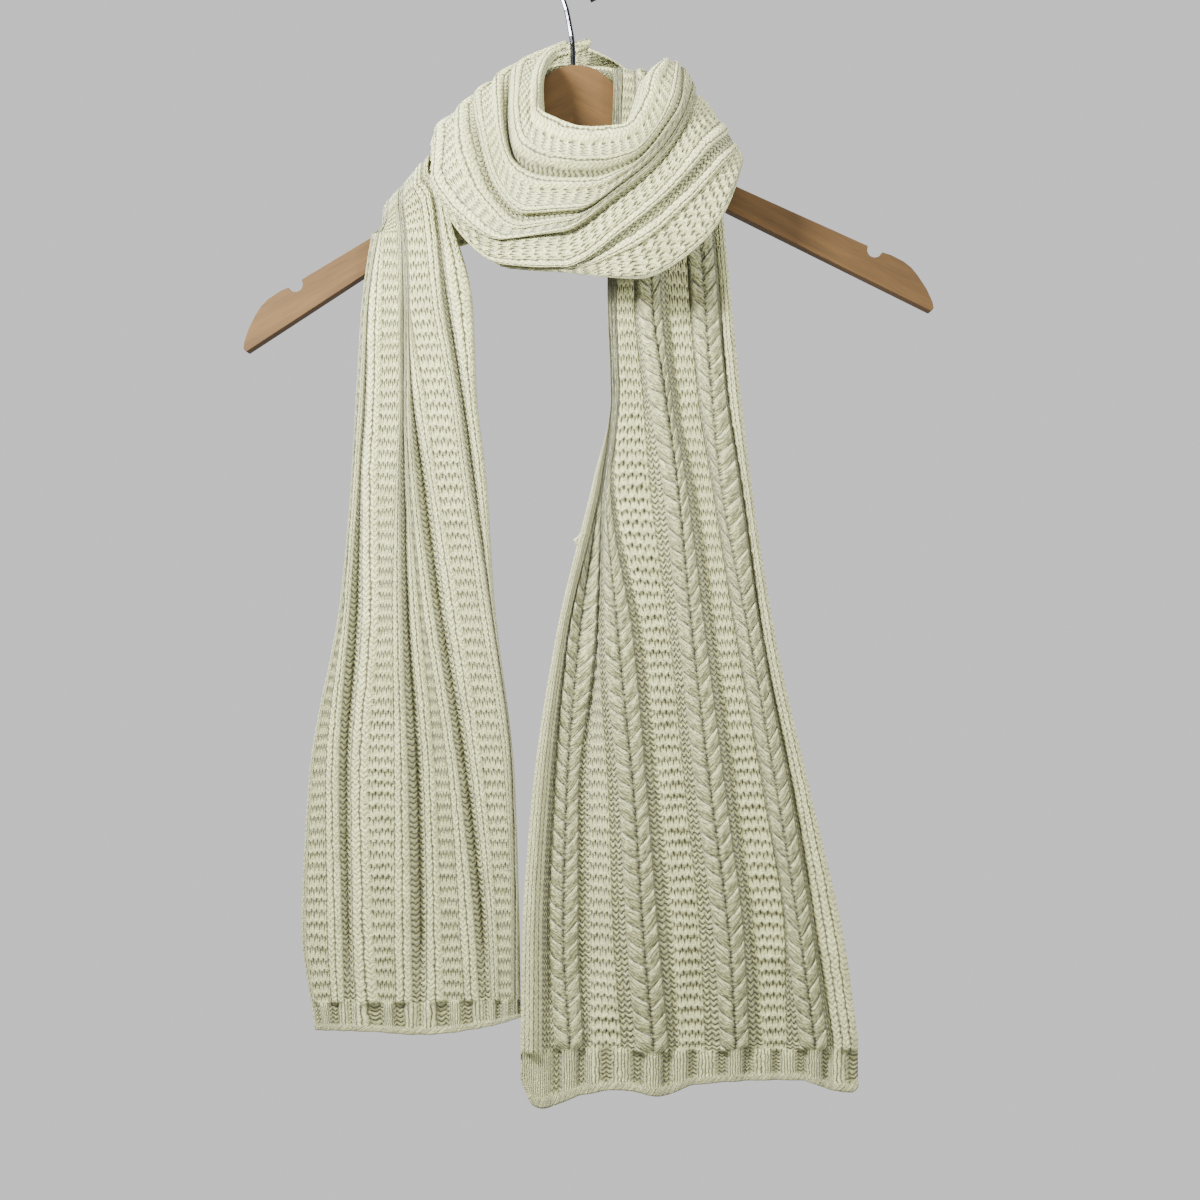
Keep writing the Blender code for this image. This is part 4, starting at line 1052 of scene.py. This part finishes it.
    # one faint pink mark near the right edge
    clear = node("MapRange.SMOOTHSTEP", node("VectorMath.DISTANCE", place, STAIN_AT),
                 *STAIN_SPREAD)
    mark = node("MULTIPLY", node("SUBTRACT", 1.0, clear), STAIN_STRENGTH)
    marked = node("Mix.RGBA", mark, mottled_with_hair_shade, STAIN_PINK)
    return coat(finish, {"Base Color": marked, "Normal": bump, "Roughness": 0.92,
                         "Specular IOR Level": 0.2, "Sheen Weight": 0.2, "Sheen Roughness": 0.45})


def varnished_beech():
    """Beech, cut in two halves, glued at the neck, and brushed with a thin satin varnish.

    Its brown streaks lean with each arm and meet at the neck, with dark pores and a soft shine.
    """
    finish, node = new_finish("varnished_beech")
    x, y, z = node("SeparateXYZ", node("TexCoord").outputs["Object"]).outputs
    side = node("SUBTRACT", x, NECK_X * MM)
    out = node("ABSOLUTE", side)
    # the grain of each half runs down along its arm
    cosine = math.cos(ARM_SLOPE)
    sine = math.sin(ARM_SLOPE)
    along = node("SUBTRACT", node("MULTIPLY", out, cosine), node("MULTIPLY", z, sine))
    over = node("ADD", node("MULTIPLY", out, sine), node("MULTIPLY", z, cosine))
    half = node("GREATER_THAN", side, 0.0)
    depth = node("MULTIPLY", y, to_cover(GRAIN_THICK))
    grain_space = node("CombineXYZ", node("MULTIPLY", along, to_cover(GRAIN_LONG)),
                       node("MULTIPLY", over, to_cover(GRAIN_WIDE)),
                       node("MULTIPLY_ADD", half, 7.0, depth))
    grain = node("TexNoise", grain_space, Scale=1.0, Detail=5.0, Roughness=0.6, Distortion=0.4)
    pores = node("TexNoise", grain_space, Scale=PORES_TO_STREAK, Detail=2.0)
    bands = node("ValToRGB", grain)
    stops = bands.color_ramp.elements
    for stop, place, colour in zip(stops, (0.25, 0.80), ("#3D2C16", "#563F20")):
        stop.position = place
        stop.color = linear(colour)
    fleck = node("MapRange", pores, 0.55, 0.75, 0.0, 0.35)
    flecked = node("Mix.RGBA", fleck, bands, "#30200D")
    bump = node("Bump", Height=pores, Strength=0.12, Distance=0.0004)
    return coat(finish, {"Base Color": flecked, "Normal": bump, "Roughness": 0.65,
                         "Specular IOR Level": 0.14})


def plated_wire():
    """Steel wire, drawn and bright plated; its base colour is painted dark to stand for the dark
    room it mirrors.

    It mirrors light and dark sharply, a little duller in the marks where it rubs on a rail.
    """
    finish, node = new_finish("plated_wire")
    place = node("TexCoord").outputs["Object"]
    rubs = node("TexNoise", place, Scale=to_cover(RUB_PATCH), Detail=2.0)
    rough = node("MapRange", rubs, 0.0, 1.0, 0.04, 0.12)
    # painted reflection: the dark base colour stands for the dark room the wire would mirror
    return coat(finish, {"Base Color": "#303235", "Metallic": 1.0, "Roughness": rough})


def pale_floor():
    """Pale grey studio paper, matt."""
    finish, _ = new_finish("pale_floor")
    return coat(finish, {"Base Color": "#B4B3B1", "Roughness": 0.9})


# ---------- build
wool = undyed_wool("undyed_wool", WOOL_LIGHT, WOOL_SHADOW)
beech = varnished_beech()
wire = plated_wire()

right_end = knit_tail("right_end", RIGHT_TAIL, wool)
left_end = knit_tail("left_end", LEFT_TAIL, wool)
front_turn = knit_band("front_turn", wrap_surface, len(WRAP_STATIONS), WRAP_PANELS,
                       middle=6.0, seed=21, rib_high=2.8, material=wool)
back_turn = knit_band("back_turn", pass_surface(BACK_STATIONS, BACK_ROLL), len(BACK_STATIONS),
                      PASS_PANELS, middle=4.0, seed=33, rib_high=1.2, material=wool)
inner_turn = knit_band("inner_turn", pass_surface(INNER_STATIONS, INNER_ROLL),
                       len(INNER_STATIONS), PASS_PANELS,
                       middle=4.0, seed=45, rib_high=0.6, material=wool)

for piece, node, flat in (
        (right_end, "tail_right", (0.19, 0.66)),
        (left_end, "tail_left", (0.14, 0.58)),
        (front_turn, "front_wrap", (0.12, 0.37)),
        (back_turn, "back_wrap", (0.10, 0.235)),
        (inner_turn, "inner_wrap", (0.08, 0.125))):
    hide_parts(node)
    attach(piece, "root")

for node, finish in (("hanger_wood", beech), ("hook", wire)):
    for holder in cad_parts[node].material_slots:
        holder.material = finish

# ---------- studio
floor_mesh = bpy.data.meshes.new("floor")
corners = [(x * FLOOR_REACH, y * FLOOR_REACH, 0) for x, y in ((-1, -1), (1, -1), (1, 1), (-1, 1))]
floor_mesh.from_pydata(corners, [], [(0, 1, 2, 3)])
floor_mesh.materials.append(pale_floor())
floor = put("floor", floor_mesh)
floor.location = (0, 0, FLOOR_LEVEL)

world = bpy.data.worlds.new("pale_studio")
world.use_nodes = True
background = world.node_tree.nodes["Background"]
background.inputs["Color"].default_value = linear("#B9B8BA")
background.inputs["Strength"].default_value = 1.7
bpy.context.scene.world = world


def softbox(name, place, size, power, aim=(0, 0, -0.35)):
    """A square light of this size in metres and power in watts, turned to what it lights."""
    light = bpy.data.lights.new(name, "AREA")
    light.shape = "SQUARE"
    light.size = size
    light.energy = power
    lamp = put(name, light)
    lamp.location = place
    lamp.rotation_euler = (Vector(aim) - Vector(place)).to_track_quat("-Z", "Y").to_euler()


softbox("key_softbox", (-0.46, -0.44, -0.02), 0.16, 27, aim=(0, 0, -0.14))
softbox("fill_softbox", (0.6, -0.8, -0.12), 0.3, 13, aim=(0.08, 0, -0.2))
softbox("top_softbox", (0.1, -0.3, 0.9), 0.5, 20)
softbox("back_softbox", (-0.5, 1.3, 1.0), 0.8, 30)

camera_data = bpy.data.cameras.new("camera")
camera_data.sensor_width = SENSOR_WIDE
camera_data.lens = SENSOR_WIDE * -CAMERA_AT[1] / (SEEN_WIDE * MM)
camera = put("camera", camera_data)
camera.location = CAMERA_AT
camera.rotation_euler = (math.radians(90), 0, 0)
bpy.context.scene.camera = camera
